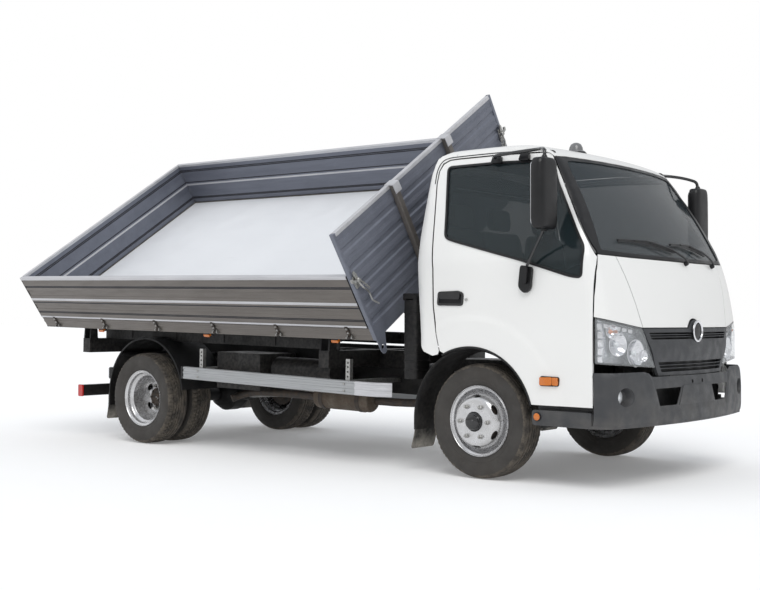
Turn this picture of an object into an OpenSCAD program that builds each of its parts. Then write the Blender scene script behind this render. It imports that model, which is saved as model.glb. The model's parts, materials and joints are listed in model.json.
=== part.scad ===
// Light cab-over-engine dump truck with a side-tipping drop-side bed, in millimetres.
// Truck frame: x forward from the front axle, y to the truck's left, z up from the ground.
// The bed is drawn as it stands when lowered, and on_bed() then tips it to the right.

/* [Wheels and tyres] */
// Outer diameter of a tyre
tyre_d = 767; // [700:1:820]
// Width of a tyre
tyre_w = 215; // [190:1:235]
// Diameter of the rim at the bead seat
rim_d = 444; // [400:1:480]
// Overall width of a rim
rim_w = 176; // [150:1:190]
// Diameter of the stud circle
stud_pcd = 222.25; // [205:0.25:240]
// Diameter of a stud hole
stud_hole_d = 24; // [18:1:28]
// Number of studs, and of hand holes
stud_count = 6; // [5:1:8]
// Distance between front and rear axle
wheel_base = 3430; // [3000:10:4200]
// Distance between the middles of the front tyres
front_track = 1660; // [1600:2:1700]
// Distance between the middles of the twin tyres on one side
dual_pitch = 261; // [250:1:290]
// Distance between the middles of the outermost rear tyres
rear_track = 1845; // [1810:1:1880]

/* [Chassis] */
// Nose-down rake of the unladen frame in degrees
rake = 1.11; // [0:0.01:2]
// Width over the two frame rails
frame_w = 840; // [760:2:860]
// Height of a frame rail
rail_h = 190; // [150:2:200]
// Width of a frame rail's flanges
rail_flange = 62; // [50:1:70]
// Thickness of a frame rail
rail_t = 6; // [4:1:10]
// Top of the frame rails above the ground at the front axle
rail_top = 665; // [650:1:690]
// Frame behind the rear axle
rear_overhang = 1090; // [800:10:1250]
// Front end of the frame rails
frame_front = 960; // [900:5:980]
// Height of the tipper subframe on the rails
subframe_h = 135; // [110:1:140]
// Distance of the kingpins from the middle plane
kingpin_y = 720; // [700:1:730]
// Diameter of a kingpin
kingpin_d = 35; // [28:1:40]
// Diameter of a front wheel spindle
spindle_d = 54; // [40:1:60]

/* [Bed] */
// Angle that the bed is tipped to the right
bed_tilt = 34; // [0:1:45]
// Outer length of the bed
bed_l = 3980; // [3600:10:4300]
// Outer width of the bed
bed_w = 2170; // [2120:2:2300]
// Front face of the bed's front board
bed_front = -776; // [-820:1:-740]
// Floor height above the ground, on the raked frame, when lowered
floor_z = 1072; // [1060:1:1150]
// Height of the drop sides
board_h = 431; // [350:1:500]
// Thickness of a board
board_t = 28; // [22:1:34]
// Height of the front board
front_board_h = 755; // [600:5:900]
// Depth of the platform's edge profile
edge_h = 100; // [80:1:110]
// Tipping pivots, distance from the middle plane
tip_y = 950; // [900:1:970]
// Tipping pivots, height on the raked frame
tip_z = 950; // [930:1:960]
// Diameter of a tipping pivot pin
tip_pin_d = 35; // [25:1:45]
// Diameter of a drop-side hinge pin
hinge_pin_d = 12; // [8:1:14]
// Number of hinges along a drop side
side_hinges = 6; // [4:1:7]
// Number of hinges along the tail board
tail_hinges = 4; // [3:1:5]

/* [Tipping cylinder] */
// Outer diameter of the barrel
barrel_d = 150; // [140:1:170]
// Thickness of each telescopic stage with its running gap
stage_step = 24; // [20:1:28]
// Length of one stage, closed
stage_l = 305; // [290:1:320]
// Height of the cylinder's lower trunnion on the raked frame
trunnion_z = 640; // [620:1:650]
// Distance of the bed's cylinder pin below the floor
ram_pin_drop = 112; // [100:1:125]

/* [Cab] */
// Width of the cab
cab_w = 1980; // [1900:5:2050]
// Thickness of the cab's walls
cab_wall = 62; // [55:1:75]
// Thickness of a door
door_t = 45; // [36:1:48]
// Thickness of a door's outer skin
door_skin = 12; // [8:1:16]
// Gap around a door
door_gap = 5; // [4:0.5:8]
// Thickness of the window glass
glass_t = 5; // [4:1:8]
// Radius of the cab's bowed front, seen from above
bow_r = 3730; // [3000:10:5000]

/* [Hidden] */
$fn = 48;

// Where the truck stands: the origin is under the middle of its box
front_axle_x = 1814.2;
mid_y = 178.7;

// Colours
c_paint = "white";
c_black = [0.08, 0.08, 0.09];
c_plastic = [0.24, 0.25, 0.27];
c_steel = [0.75, 0.76, 0.78];
c_board = [0.45, 0.47, 0.52];
c_rubber = [0.16, 0.15, 0.15];
c_glass = [0.35, 0.42, 0.45, 0.5];

// ---------- frames ----------
module in_truck() { translate([front_axle_x, mid_y, 0]) children(); }
module raked() { in_truck() rotate([0, rake, 0]) children(); }
module on_bed() {
    raked() translate([0, -tip_y, tip_z]) rotate([bed_tilt, 0, 0])
        translate([0, tip_y, floor_z - tip_z]) children();
}
// Left side as drawn, and its mirror image on the right
module both_sides() { children(); mirror([0, 1, 0]) children(); }
// A child drawn for the left side, put on side s: 1 left, -1 right
module on_side(s) { if (s > 0) children(); else mirror([0, 1, 0]) children(); }

// ---------- helpers ----------
// A box from one corner to the other
module box(a, b) { translate(a) cube(b - a); }
// A cylinder along +y from y0 to y1 at (x, z)
module rod_y(x, z, y0, y1, d) {
    translate([x, y1, z]) rotate([90, 0, 0]) cylinder(d = d, h = y1 - y0);
}
// A cylinder along +x from x0 to x1 at (y, z)
module rod_x(x0, x1, y, z, d) {
    translate([x0, y, z]) rotate([0, 90, 0]) cylinder(d = d, h = x1 - x0);
}
// A straight bar of diameter d from point a to point b
module bar(a, b, d) {
    v = b - a;
    translate(a) rotate([0, acos(v[2] / norm(v)), atan2(v[1], v[0])]) cylinder(d = d, h = norm(v));
}
// An outline in x and z, drawn as a plate from y0 to y1
module plate_y(y0, y1, points) {
    translate([0, y1, 0]) rotate([90, 0, 0]) linear_extrude(y1 - y0) polygon(points);
}
// An outline in y and z, drawn as a bar from x0 to x1
module plate_x(x0, x1, points) {
    translate([x0, 0, 0]) rotate([90, 0, 90]) linear_extrude(x1 - x0) polygon(points);
}
// Points of an arc about c from angle a0 to a1 in n steps
function arc(c, r, a0, a1, n) =
    [for (i = [0:n]) c + r * [cos(a0 + (a1 - a0) * i / n), sin(a0 + (a1 - a0) * i / n)]];

// ---------- wheels ----------
wheel_z = tyre_d / 2;
rim_r = rim_d / 2;
rim_lip = 14;
rim_seat_t = 8;
rim_well = 26;
disc_t = 12;
hub_r = 128;
hub_l = 130;
hub_gap = 1;
// From a rim's middle to its mounting face: the twins' faces meet
disc_offset = dual_pitch / 2;
shoulder_r = 34;
front_wheel_y = front_track / 2;
rear_outer_y = rear_track / 2;
rear_inner_y = rear_outer_y - dual_pitch;

module tyre(y) {
    r = tyre_d / 2;
    w = tyre_w / 2;
    half = concat(
        [[rim_r + 0.3, rim_w / 2 - 13], [rim_r + rim_lip + 1, rim_w / 2 - 7], [(r + rim_r) / 2, w]],
        arc([r - shoulder_r, w - shoulder_r], shoulder_r, 60, 0, 4)
    );
    other = [for (i = [len(half) - 1:-1:0]) [half[i][0], -half[i][1]]];
    translate([0, y, wheel_z]) rotate([-90, 0, 0]) rotate_extrude($fn = 96) polygon(concat(half, other));
}
// The rim, with its dished disc on side s of the rim's middle
module rim(y, s) {
    w = rim_w / 2;
    f = disc_offset;
    well = rim_r - rim_well;
    translate([0, y, wheel_z]) rotate([-90, 0, 0]) union() {
        rotate_extrude($fn = 96) polygon([
            [rim_r + rim_lip, -w], [rim_r + rim_lip, 6 - w], [rim_r, 12 - w], [rim_r, 40 - w],
            [well, 58 - w], [well, w - 58], [rim_r, w - 40], [rim_r, w - 12],
            [rim_r + rim_lip, w - 6], [rim_r + rim_lip, w], [rim_r - rim_seat_t, w],
            [rim_r - rim_seat_t, w - 36], [well - rim_seat_t, w - 52],
            [well - rim_seat_t, 52 - w], [rim_r - rim_seat_t, 36 - w], [rim_r - rim_seat_t, -w],
        ]);
        difference() {
            rotate_extrude($fn = 96) polygon([for (p = [
                [hub_r - 60, f], [hub_r + 14, f], [hub_r + 30, f - 10], [well - 14, f - 66],
                [well - rim_seat_t + 2, f - 100], [well - rim_seat_t + 2, f - 100 - disc_t],
                [well - 14 - disc_t, f - 76], [hub_r + 22, f - 24], [hub_r + 14, f - disc_t],
                [hub_r - 60, f - disc_t],
            ]) [p[0], p[1] * s]]);
            for (i = [0:stud_count - 1]) rotate([0, 0, i * 360 / stud_count]) {
                translate([rim_r - 57, 0, -f - 1]) cylinder(d = 48, h = 2 * f + 2);
                rotate([0, 0, 180 / stud_count]) translate([stud_pcd / 2, 0, -f - 1])
                    cylinder(d = stud_hole_d, h = 2 * f + 2);
            }
        }
    }
}
// Hub and brake drum, from the disc inwards, with a running bore of diameter d for the axle
module hub(disc_y, d) {
    translate([0, disc_y, wheel_z]) rotate([90, 0, 0]) difference() {
        union() {
            cylinder(r = hub_r + 8, h = 14);
            cylinder(r = hub_r - 30, h = hub_l);
            translate([0, 0, 14]) cylinder(r = hub_r + 22, h = hub_l - 24);
            translate([0, 0, -44]) cylinder(r = hub_r - 62, h = 45);
        }
        translate([0, 0, -20]) cylinder(d = d, h = hub_l + 30);
    }
}
// Wheels on side s: 1 left, -1 right
module tyre_front(s) { color(c_rubber) in_truck() on_side(s) tyre(front_wheel_y); }
module wheel_front(s) {
    color(c_steel) in_truck() on_side(s) {
        rim(front_wheel_y, 1);
        hub(front_wheel_y + disc_offset - disc_t, spindle_d + 2 * hub_gap);
    }
}
module at_rear_axle() { translate([-wheel_base, 0, 0]) children(); }
module tyres_rear(s) {
    color(c_rubber) in_truck() on_side(s) at_rear_axle() {
        tyre(rear_outer_y);
        tyre(rear_inner_y);
    }
}
rear_disc_y = rear_outer_y - disc_offset;
module wheels_rear(s) {
    color(c_steel) in_truck() on_side(s) at_rear_axle() {
        rim(rear_outer_y, -1);
        rim(rear_inner_y, 1);
        hub(rear_disc_y - disc_t, rear_stub_d + 2 * hub_gap);
    }
}

// ---------- axles ----------
rear_stub_d = 80;
rear_tube_d = 120;
diff_r = 155;
beam_h = 80;
beam_w = 90;
fork_gap = 4;
module front_axle() {
    color(c_black) in_truck() both_sides() {
        difference() {
            union() {
                box([-beam_w / 2, -1, wheel_z - 95], [beam_w / 2, 520, wheel_z - 95 + beam_h]);
                plate_x(-beam_w / 2, beam_w / 2, [
                    [519, wheel_z - 95], [519, wheel_z - 95 + beam_h],
                    [kingpin_y - 30, wheel_z + 45], [kingpin_y - 30, wheel_z - 45],
                ]);
                translate([0, kingpin_y, wheel_z - 45]) cylinder(d = 84, h = 90);
            }
            translate([0, kingpin_y, wheel_z - 60]) cylinder(d = kingpin_d + 0.1, h = 130);
        }
        // Pads that carry the leaf springs
        box([-60, spring_y - 40, wheel_z - 95 + beam_h], [60, spring_y + 40, front_spring_z]);
    }
}
module knuckle(s) {
    color(c_black) in_truck() on_side(s) {
        translate([0, kingpin_y, wheel_z - 72]) cylinder(d = kingpin_d, h = 144);
        difference() {
            union() {
                for (z = [wheel_z - 75, wheel_z + 45 + fork_gap])
                    translate([0, kingpin_y, z]) cylinder(d = 76, h = 26);
                box([-38, kingpin_y + 46, wheel_z - 75], [38, kingpin_y + 72, wheel_z + 75]);
                for (z = [wheel_z - 75, wheel_z + 45 + fork_gap])
                    box([-38, kingpin_y, z], [38, kingpin_y + 50, z + 26]);
                rod_y(0, wheel_z, kingpin_y + 70, front_wheel_y + disc_offset - 24, spindle_d);
                // Steering arm
                box([-170, kingpin_y - 22, wheel_z - 75], [-20, kingpin_y + 22, wheel_z - 75 + 16]);
            }
            translate([0, kingpin_y, wheel_z - 71]) cylinder(d = kingpin_d - 0.01, h = 142);
        }
    }
}
module rear_axle() {
    color(c_black) in_truck() at_rear_axle() {
        tube_end = rear_disc_y - disc_t - hub_l - 6;
        rod_y(0, wheel_z, -tube_end, tube_end, rear_tube_d);
        // Differential housing
        translate([0, 0, wheel_z]) rotate([90, 0, 0]) rotate_extrude() polygon([
            [0, -170], [70, -170], [110, -140], [diff_r, -60], [diff_r, 60], [110, 140], [70, 170], [0, 170],
        ]);
        rod_x(120, 260, 0, wheel_z + 10, 130);
        both_sides() {
            rod_y(0, wheel_z, tube_end - 1, rear_disc_y - 40, rear_stub_d);
            box([-55, spring_y - 40, wheel_z], [55, spring_y + 40, rear_spring_z]);
        }
    }
}
spring_y = 450;
spring_w = 70;
front_spring_z = 416;
rear_spring_z = 452;
// A leaf spring pack about an axle at x, from one hanger to the other
module leaf_pack(x, z, half, t, rise) {
    top = [for (i = [0:12]) let(u = -1 + i / 6) [x + half * u, z + t * (1 - 0.7 * abs(u)) + rise * u * u]];
    low = [for (i = [12:-1:0]) let(u = -1 + i / 6) [x + half * u, z + rise * u * u]];
    plate_y(spring_y - spring_w / 2, spring_y + spring_w / 2, concat(low, [for (i = [12:-1:0]) top[12 - i]]));
}
module leaf_springs() {
    color(c_black) in_truck() both_sides() {
        leaf_pack(0, front_spring_z, front_spring_half, 44, spring_rise);
        leaf_pack(-wheel_base, rear_spring_z, rear_spring_half, 60, spring_rise);
    }
}
front_spring_half = 560;
rear_spring_half = 600;
spring_rise = 24;
leaf_end_front = 44 * 0.3;
leaf_end_rear = 60 * 0.3;

// ---------- chassis ----------
rail_y = frame_w / 2;
rail_low = rail_top - rail_h;
subframe_top = rail_top + subframe_h;
// A point of the ground frame, in the raked frame
function to_raked(x, z) = [x * cos(rake) - z * sin(rake), x * sin(rake) + z * cos(rake)];
// A hanger on the rail's outer face that ends just above a spring's end at (x, z)
module spring_hanger(x, z) {
    p = to_raked(x, z);
    box([p[0] - 30, rail_y - 1, p[1] + 1], [p[0] + 30, spring_y + spring_w / 2, rail_top - 40]);
}
cross_x = [-4000, -2860, -2000, -1150];
cab_pivot_x = 985;
cab_pivot_z = 750;
cab_pin_d = 30;
lug_y = 415;
lug_w = 40;
ear_t = 10;
ear_gap = 6;
tow_bore_d = 32;
tow_t = 24;
frame_rear = -wheel_base - rear_overhang;
tow_x = frame_rear - 55;
module ladder_frame() {
    color(c_black) raked() {
        both_sides() {
            difference() {
                box([frame_rear, rail_y - rail_flange, rail_low], [frame_front, rail_y, rail_top]);
                box([frame_rear - 1, rail_y - rail_flange - 1, rail_low + rail_t],
                    [frame_front + 1, rail_y - rail_t, rail_top - rail_t]);
            }
            for (x = [front_spring_half - 12, 12 - front_spring_half])
                spring_hanger(x, front_spring_z + spring_rise + leaf_end_front);
            for (x = [rear_spring_half - 12, 12 - rear_spring_half])
                spring_hanger(x - wheel_base, rear_spring_z + spring_rise + leaf_end_rear);
        }
        for (x = cross_x) rod_y(x, rail_top - 51, rail_t - rail_y, rail_y - rail_t, 90);
        for (x = [frame_rear, frame_front - 70])
            box([x, rail_t - rail_y, rail_low + rail_t], [x + 70, rail_y - rail_t, rail_top - rail_t]);
        // Towing jaw at the rear
        difference() {
            box([frame_rear - 100, -60, rail_low + 40], [frame_rear, 60, rail_low + 150]);
            box([frame_rear - 101, -61, rail_low + 40 + tow_t], [frame_rear - 15, 61, rail_low + 150 - tow_t]);
            translate([tow_x, 0, rail_low]) cylinder(d = tow_bore_d, h = rail_h);
        }
        // Ears that carry the cab's tilting hinge
        p = to_raked(cab_pivot_x, cab_pivot_z);
        both_sides() {
            for (y = [lug_y - lug_w / 2 - ear_gap - ear_t, lug_y + lug_w / 2 + ear_gap])
                plate_y(y, y + ear_t, [
                    [frame_front - 110, rail_top - 40], [frame_front - 110, rail_top], [p[0] - 26, p[1] + 20],
                    [p[0] + 26, p[1] + 20], [p[0] + 14, p[1] - 30], [frame_front - 25, rail_top - 40],
                ]);
            box([frame_front - 110, rail_y - 50, rail_top - 50],
                [frame_front, lug_y + lug_w / 2 + ear_gap + ear_t, rail_top - 40]);
            rod_y(p[0], p[1], lug_y - lug_w / 2 - ear_gap - ear_t, lug_y + lug_w / 2 + ear_gap + ear_t,
                cab_pin_d);
        }
    }
}
module engine_block() {
    color(c_black) in_truck() {
        box([-250, -270, 470], [640, 270, 930]);
        box([-820, -170, 480], [-250, 170, 760]);
        box([700, -340, 480], [760, 340, 930]);
        box([640, -60, 600], [700, 60, 700]);
        both_sides() box([100, 269, 560], [180, rail_y - rail_t - 0.3, 630]);
        both_sides() box([700, 339, 560], [760, rail_y - rail_t - 0.3, 620]);
    }
}
module drive_shaft() {
    color(c_steel) in_truck() bar([-824, 0, 540], [-wheel_base + 263.5, 0, wheel_z + 12], 90);
}
tank_y = rail_y + 50;
module fuel_tank() {
    color(c_steel) raked() {
        box([-2350, tank_y, 340], [-1450, tank_y + 430, 680]);
        for (x = [-2200, -1660]) box([x, rail_y + 0.3, 520], [x + 60, tank_y + 1, 660]);
    }
}
module battery_box() {
    color(c_black) raked() {
        box([-2650, -tank_y - 400, 450], [-2150, -tank_y, 740]);
        box([-2500, -tank_y - 1, 520], [-2440, -rail_y - 0.3, 660]);
        rod_x(-2080, -1450, -tank_y - 250, 620, 200);
        for (x = [-2000, -1600]) box([x, -tank_y - 160, 560], [x + 50, -rail_y - 0.3, 600]);
    }
}
can_x0 = -1670;
can_x1 = -1110;
can_y = -700;
can_z = 430;
can_d = 170;
pipe_d = 60;
module muffler() {
    color([0.45, 0.38, 0.3]) raked() {
        rod_x(can_x0, can_x1, can_y, can_z, can_d);
        rod_x(can_x1, -700, can_y + 50, can_z, pipe_d);
        rod_x(-2500, can_x0, can_y, can_z - 30, pipe_d);
        for (x = [-1600, -1230]) box([x, can_y - 20, can_z + 60], [x + 50, -rail_y - 0.3, can_z + 90]);
    }
}
module air_intake() {
    color(c_black) in_truck() {
        box([-640, -930, 640], [-520, -760, 1240]);
        box([-640, -760, 640], [-560, -rail_y - 0.3, 760]);
    }
}
pivot_xs = [-4260, -1350];
cross_beam_h = 125;
module tipper_subframe() {
    color(c_black) raked() {
        both_sides() box([frame_rear, rail_y - 75, rail_top + 0.3], [-1000, rail_y - 10, subframe_top]);
        for (x = pivot_xs) {
            box([x - 50, -tip_y - 45, subframe_top - cross_beam_h], [x + 50, -rail_y - 0.3, subframe_top]);
            box([x - 50, rail_y + 0.3, subframe_top - cross_beam_h], [x + 50, tip_y + 45, subframe_top]);
            box([x - 50, -rail_y - 1, rail_top + 0.3], [x + 50, rail_y + 1, subframe_top]);
            // Two ears and the pin on the right, an open saddle on the left
            for (e = [x - 50, x + 34]) plate_x(e, e + 16, [
                [-tip_y - 40, subframe_top - 1], [-tip_y + 40, subframe_top - 1],
                [-tip_y + 28, tip_z + 22], [-tip_y - 28, tip_z + 22],
            ]);
            rod_x(x - 50, x + 50, -tip_y, tip_z, tip_pin_d);
            difference() {
                box([x - 30, tip_y - 40, subframe_top - 1], [x + 30, tip_y + 40, tip_z]);
                rod_x(x - 31, x + 31, tip_y, tip_z, tip_pin_d + 4);
            }
        }
        // Crossbeams that carry the cylinder's trunnions
        for (x = [cyl_x - 120, cyl_x + 120]) difference() {
            union() {
                box([x - 25, 75 - rail_y, rail_top - 100], [x + 25, rail_y - 75, rail_top + 1]);
                box([x - 25, 12 - rail_y, rail_top + 0.3], [x + 25, rail_y - 12, subframe_top - 30]);
            }
            rod_x(x - 26, x + 26, 0, trunnion_z, trunnion_d + 0.1);
        }
    }
}
guard_y = 1040;
guard_h = 100;
guard_z = 540;
guard_front = -1010;
guard_rear = -2880;
module side_guards() {
    color(c_steel) raked() both_sides() {
        translate([0, 0, guard_z]) linear_extrude(guard_h) polygon([
            [guard_rear, guard_y - 30], [guard_rear, guard_y], [guard_front, guard_y],
            [guard_front + 170, guard_y - 18], [guard_front + 270, guard_y - 90],
            [guard_front + 270, guard_y - 120], [guard_front + 160, guard_y - 48], [guard_front, guard_y - 30],
        ]);
        for (x = [guard_rear + 190, guard_front - 90]) {
            box([x - 20, guard_y - 66, guard_z], [x + 20, guard_y - 30, subframe_top + 20]);
            box([x - 20, rail_y + 0.3, rail_top - 60], [x + 20, guard_y - 66, rail_top - 20]);
        }
    }
}
fender_r = 500;
fender_y0 = 540;
fender_y1 = 985;
fender_t = 5;
module rear_fenders() {
    color(c_black) in_truck() both_sides() {
        outer = concat(
            [[-wheel_base - fender_r, 180]],
            arc([-wheel_base, wheel_z + 20], fender_r, 180, 8, 18)
        );
        inner = concat(
            arc([-wheel_base, wheel_z + 20], fender_r - fender_t, 8, 180, 18),
            [[-wheel_base - fender_r + fender_t, 180]]
        );
        plate_y(fender_y0, fender_y1, concat(outer, inner));
        // Stays from the frame rail
        for (x = [-wheel_base - 330, -wheel_base + 330])
            rod_y(x, wheel_z + 20 + sqrt(pow(fender_r - fender_t, 2) - 330 * 330) - 16,
                rail_y - 9.7, fender_y1 - 60, 34);
    }
}
under_x = frame_rear + 220;
module underrun_bar() {
    color(c_black) in_truck() {
        box([under_x - 30, -1010, 364], [under_x + 30, 1010, 464]);
        both_sides() box([under_x, rail_y + 0.3, 463], [under_x + 60, rail_y + 20, 640]);
    }
    color("red") in_truck() both_sides() box([under_x - 31, 1010, 363], [under_x + 31, 1022, 465]);
}
lamp_x = frame_rear + 110;
module tail_lamps() {
    color("red") in_truck() both_sides() {
        box([lamp_x, rail_y + 20, 500], [lamp_x + 70, rail_y + 215, 610]);
        box([lamp_x + 40, rail_y + 0.3, 530], [lamp_x + 70, rail_y + 21, 580]);
    }
}
arch_x = -20;
arch_z = 383;
arch_r = 490;
liner_r = 474;
liner_t = 5;
module front_mudguards() {
    color(c_black) in_truck() both_sides() {
        plate_y(700, 960, concat(
            [[arch_x - liner_r, 200]], arc([arch_x, arch_z], liner_r, 180, 20, 18),
            arc([arch_x, arch_z], liner_r - liner_t, 20, 180, 18), [[arch_x - liner_r + liner_t, 200]]
        ));
        box([arch_x - liner_r - 20, rail_y + 0.3, 500], [arch_x - liner_r - 0.3, 900, 540]);
        box([arch_x - liner_r - 20, 700, 330], [arch_x - liner_r - 0.3, 900, 501]);
    }
}
step_x0 = 462;
step_x1 = 885;
module cab_steps() {
    color(c_plastic) in_truck() both_sides() {
        difference() {
            box([step_x0, 700, 388], [step_x1, 985, 488]);
            box([step_x0 + 60, 760, 440], [step_x1 - 60, 960, 489]);
        }
        box([590, rail_y + 0.3, 486], [670, 760, 520]);
        box([590, rail_y + 0.3, 486], [670, rail_y + 30, 560]);
    }
}

// ---------- bed ----------
half_w = bed_w / 2;
bed_rear = bed_front - bed_l;
floor_t = 4;
edge_t = 45;
cross_h = 80;
cross_w = 60;
cross_count = 8;
long_y = 345;
long_w = 70;
bed_seat_gap = 6;
long_h = floor_z - floor_t - cross_h - subframe_top - bed_seat_gap;
board_gap = 6;
pin_out = 14;
pin_drop = 75;
hinge_w = 30;
cyl_x = -2620;
// Places along the bed where cross members run, kept off the tipping brackets
cross_xs = [for (i = [0:cross_count - 1]) bed_rear + 90 + i * (bed_l - 230) / (cross_count - 1)];
module bed_frame() {
    color(c_black) on_bed() {
        for (x = cross_xs)
            box([x - cross_w / 2, edge_t + 0.3 - half_w, -floor_t - cross_h],
                [x + cross_w / 2, half_w - edge_t - 0.3, -floor_t]);
        low = -floor_t - cross_h - long_h;
        both_sides() box([bed_rear + 60, long_y - long_w / 2, low],
            [in_front - edge_t - 0.3, long_y + long_w / 2, 1 - floor_t - cross_h]);
        // Tipping brackets: a lug with a bore on the right, a lug with a pin on the left
        z = tip_z - floor_z;
        for (x = pivot_xs) {
            box([x - 60, edge_t + 1 - half_w, -floor_t - cross_h], [x + 60, half_w - edge_t - 1, -floor_t]);
            difference() {
                plate_x(x - 28, x + 28, [
                    [-tip_y - 44, -floor_t - 29], [-tip_y + 60, -floor_t - 29],
                    [-tip_y + 26, z - 26], [-tip_y - 26, z - 26],
                ]);
                rod_x(x - 29, x + 29, -tip_y, z, tip_pin_d + 0.1);
            }
            for (e = [x - 52, x + 36]) plate_x(e, e + 16, [
                [tip_y - 40, -floor_t - 29], [tip_y + 40, -floor_t - 29],
                [tip_y + 24, z - 22], [tip_y - 24, z - 22],
            ]);
            rod_x(x - 52, x + 52, tip_y, z, tip_pin_d);
        }
        // Bracket of the cylinder's upper pin
        for (e = [cyl_x - 62, cyl_x + 46]) plate_x(e, e + 16, [
            [-60, -floor_t - 31], [60, -floor_t - 31], [30, -ram_pin_drop - 30], [-30, -ram_pin_drop - 30],
        ]);
        box([cyl_x - 430, -60, -floor_t - 50], [cyl_x + 90, 60, -floor_t - 30]);
    }
}
module bed_floor() {
    color([0.85, 0.87, 0.9]) on_bed()
        box([bed_rear + edge_t, edge_t - half_w, -floor_t], [in_front - edge_t, half_w - edge_t, 0]);
}
// Places of the hinges along a side and along the rear
side_hinge_xs = [for (i = [0:side_hinges - 1])
    bed_rear + 198 + i * (bed_l - 198 - 230) / (side_hinges - 1)];
tail_hinge_ys = [for (i = [0:tail_hinges - 1]) (i / (tail_hinges - 1) - 0.5) * (bed_w - 500)];
lug_gap = 1;
lug_t = 6;
// Two lugs and a pin on the left edge profile, at x
module edge_lugs(x) {
    for (e = [x - hinge_w / 2 - lug_gap - lug_t, x + hinge_w / 2 + lug_gap]) plate_x(e, e + lug_t, [
        [half_w - 1, -pin_drop + 22], [half_w + pin_out, -pin_drop + 12],
        [half_w + pin_out + 10, -pin_drop], [half_w + pin_out, -pin_drop - 12], [half_w - 1, -pin_drop - 22],
    ]);
    rod_x(x - hinge_w / 2 - lug_gap - lug_t, x + hinge_w / 2 + lug_gap + lug_t,
        half_w + pin_out, -pin_drop, hinge_pin_d);
}
// The strap of a left drop side at x, from its knuckle up to the board
module board_strap(x) {
    difference() {
        union() {
            rod_x(x - hinge_w / 2, x + hinge_w / 2, half_w + pin_out, -pin_drop, 23);
            box([x - hinge_w / 2, half_w + pin_out - 11, -pin_drop],
                [x + hinge_w / 2, half_w + pin_out - 4, 60]);
        }
        rod_x(x - hinge_w / 2 - 1, x + hinge_w / 2 + 1, half_w + pin_out, -pin_drop, hinge_pin_d + 0.1);
    }
}
// Turns a piece drawn for the left side at x = 0 to the rear, at y
module at_rear(y) { translate([bed_rear + half_w, y, 0]) rotate([0, 0, 90]) children(); }
in_front = bed_front - board_t;
face_y = half_w + 1;
module bed_edges() {
    color(c_board) on_bed() {
        both_sides() {
            box([bed_rear, half_w - edge_t, -edge_h], [in_front, half_w, 0]);
            for (x = side_hinge_xs) edge_lugs(x);
        }
        for (x = [bed_rear, in_front - edge_t])
            box([x, edge_t - half_w, -edge_h], [x + edge_t, half_w - edge_t, 0]);
        for (y = tail_hinge_ys) at_rear(y) edge_lugs(0);
    }
}
// Section of a drop side, from its outer face inwards: three ribs stand proud of the face
rib_out = 4;
rib_h = 14;
board_low = 6;
module board_bar(x0, x1, h) {
    plate_x(x0, x1, [
        [face_y - board_t, board_low], [face_y + rib_out, board_low], [face_y + rib_out, board_low + rib_h],
        [face_y, board_low + rib_h + 4],
        [face_y, h * 0.48 - rib_h], [face_y + rib_out, h * 0.48 - rib_h + 4],
        [face_y + rib_out, h * 0.48 + 4], [face_y, h * 0.48 + 8],
        [face_y, h - rib_h - 4], [face_y + rib_out, h - rib_h], [face_y + rib_out, h],
        [face_y - board_t, h],
    ]);
}
module side_board(s) {
    color(c_board) on_bed() on_side(s) {
        board_bar(bed_rear, in_front - board_gap, board_h);
        for (x = side_hinge_xs) board_strap(x);
    }
}
tail_half = half_w - board_t - board_gap;
module tail_board() {
    color(c_board) on_bed() {
        at_rear(0) board_bar(-tail_half, tail_half, board_h);
        for (y = tail_hinge_ys) at_rear(y) board_strap(0);
    }
}
stake_y = 360;
stake_w = 60;
stake_t = 40;
corner_hole_d = 34;
module front_board() {
    color(c_board) on_bed() {
        box([in_front, -half_w, -edge_h], [bed_front, half_w, front_board_h]);
        both_sides() {
            box([bed_front, stake_y - stake_w / 2, -edge_h],
                [bed_front + stake_t, stake_y + stake_w / 2, front_board_h]);
            difference() {
                plate_x(bed_front, bed_front + 8, [
                    [half_w - 150, 0], [half_w, 0], [half_w, -200], [half_w - 14, -222],
                    [half_w - 46, -222], [half_w - 60, -200],
                ]);
                rod_x(bed_front - 1, bed_front + 9, half_w - 30, -168, corner_hole_d);
            }
        }
    }
}

// ---------- tipping cylinder ----------
stage_wall = stage_step - 1.6;
eye_z = floor_z - ram_pin_drop;
// Where the bed's cylinder pin stands, in y and z, when the bed is tipped by an angle a
function eye_at(a) = [
    -tip_y + tip_y * cos(a) - (eye_z - tip_z) * sin(a),
    tip_z + tip_y * sin(a) + (eye_z - tip_z) * cos(a),
];
eye = eye_at(bed_tilt);
ram_lean = atan2(-eye[0], eye[1] - trunnion_z);
ram_out = norm([eye[0], eye[1] - trunnion_z]) - (eye_z - trunnion_z);
barrel_low = -150;
trunnion_d = 40;
stage_ds = [for (i = [0:3]) barrel_d - i * stage_step];
module on_cylinder(stage) {
    raked() translate([cyl_x, 0, trunnion_z]) rotate([ram_lean, 0, 0])
        translate([0, 0, stage * ram_out / 3]) children();
}
module stage_tube(i) {
    low = barrel_low + 12 + i * 6;
    difference() {
        translate([0, 0, low]) cylinder(d = stage_ds[i], h = stage_l - 12);
        translate([0, 0, low - 1]) cylinder(d = stage_ds[i] - stage_wall, h = stage_l);
    }
}
module cylinder_barrel() {
    color(c_black) on_cylinder(0) {
        difference() {
            translate([0, 0, barrel_low]) cylinder(d = barrel_d, h = stage_l);
            translate([0, 0, barrel_low + 10]) cylinder(d = barrel_d - stage_wall, h = stage_l);
        }
        for (s = [-1, 1]) translate([s * (barrel_d / 2 - 2), 0, 0]) rotate([0, 90 * s, 0])
            cylinder(d = trunnion_d, h = 120 - barrel_d / 2 + 22);
    }
}
module cylinder_stage(i) { color(c_steel) on_cylinder(i) stage_tube(i); }
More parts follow.
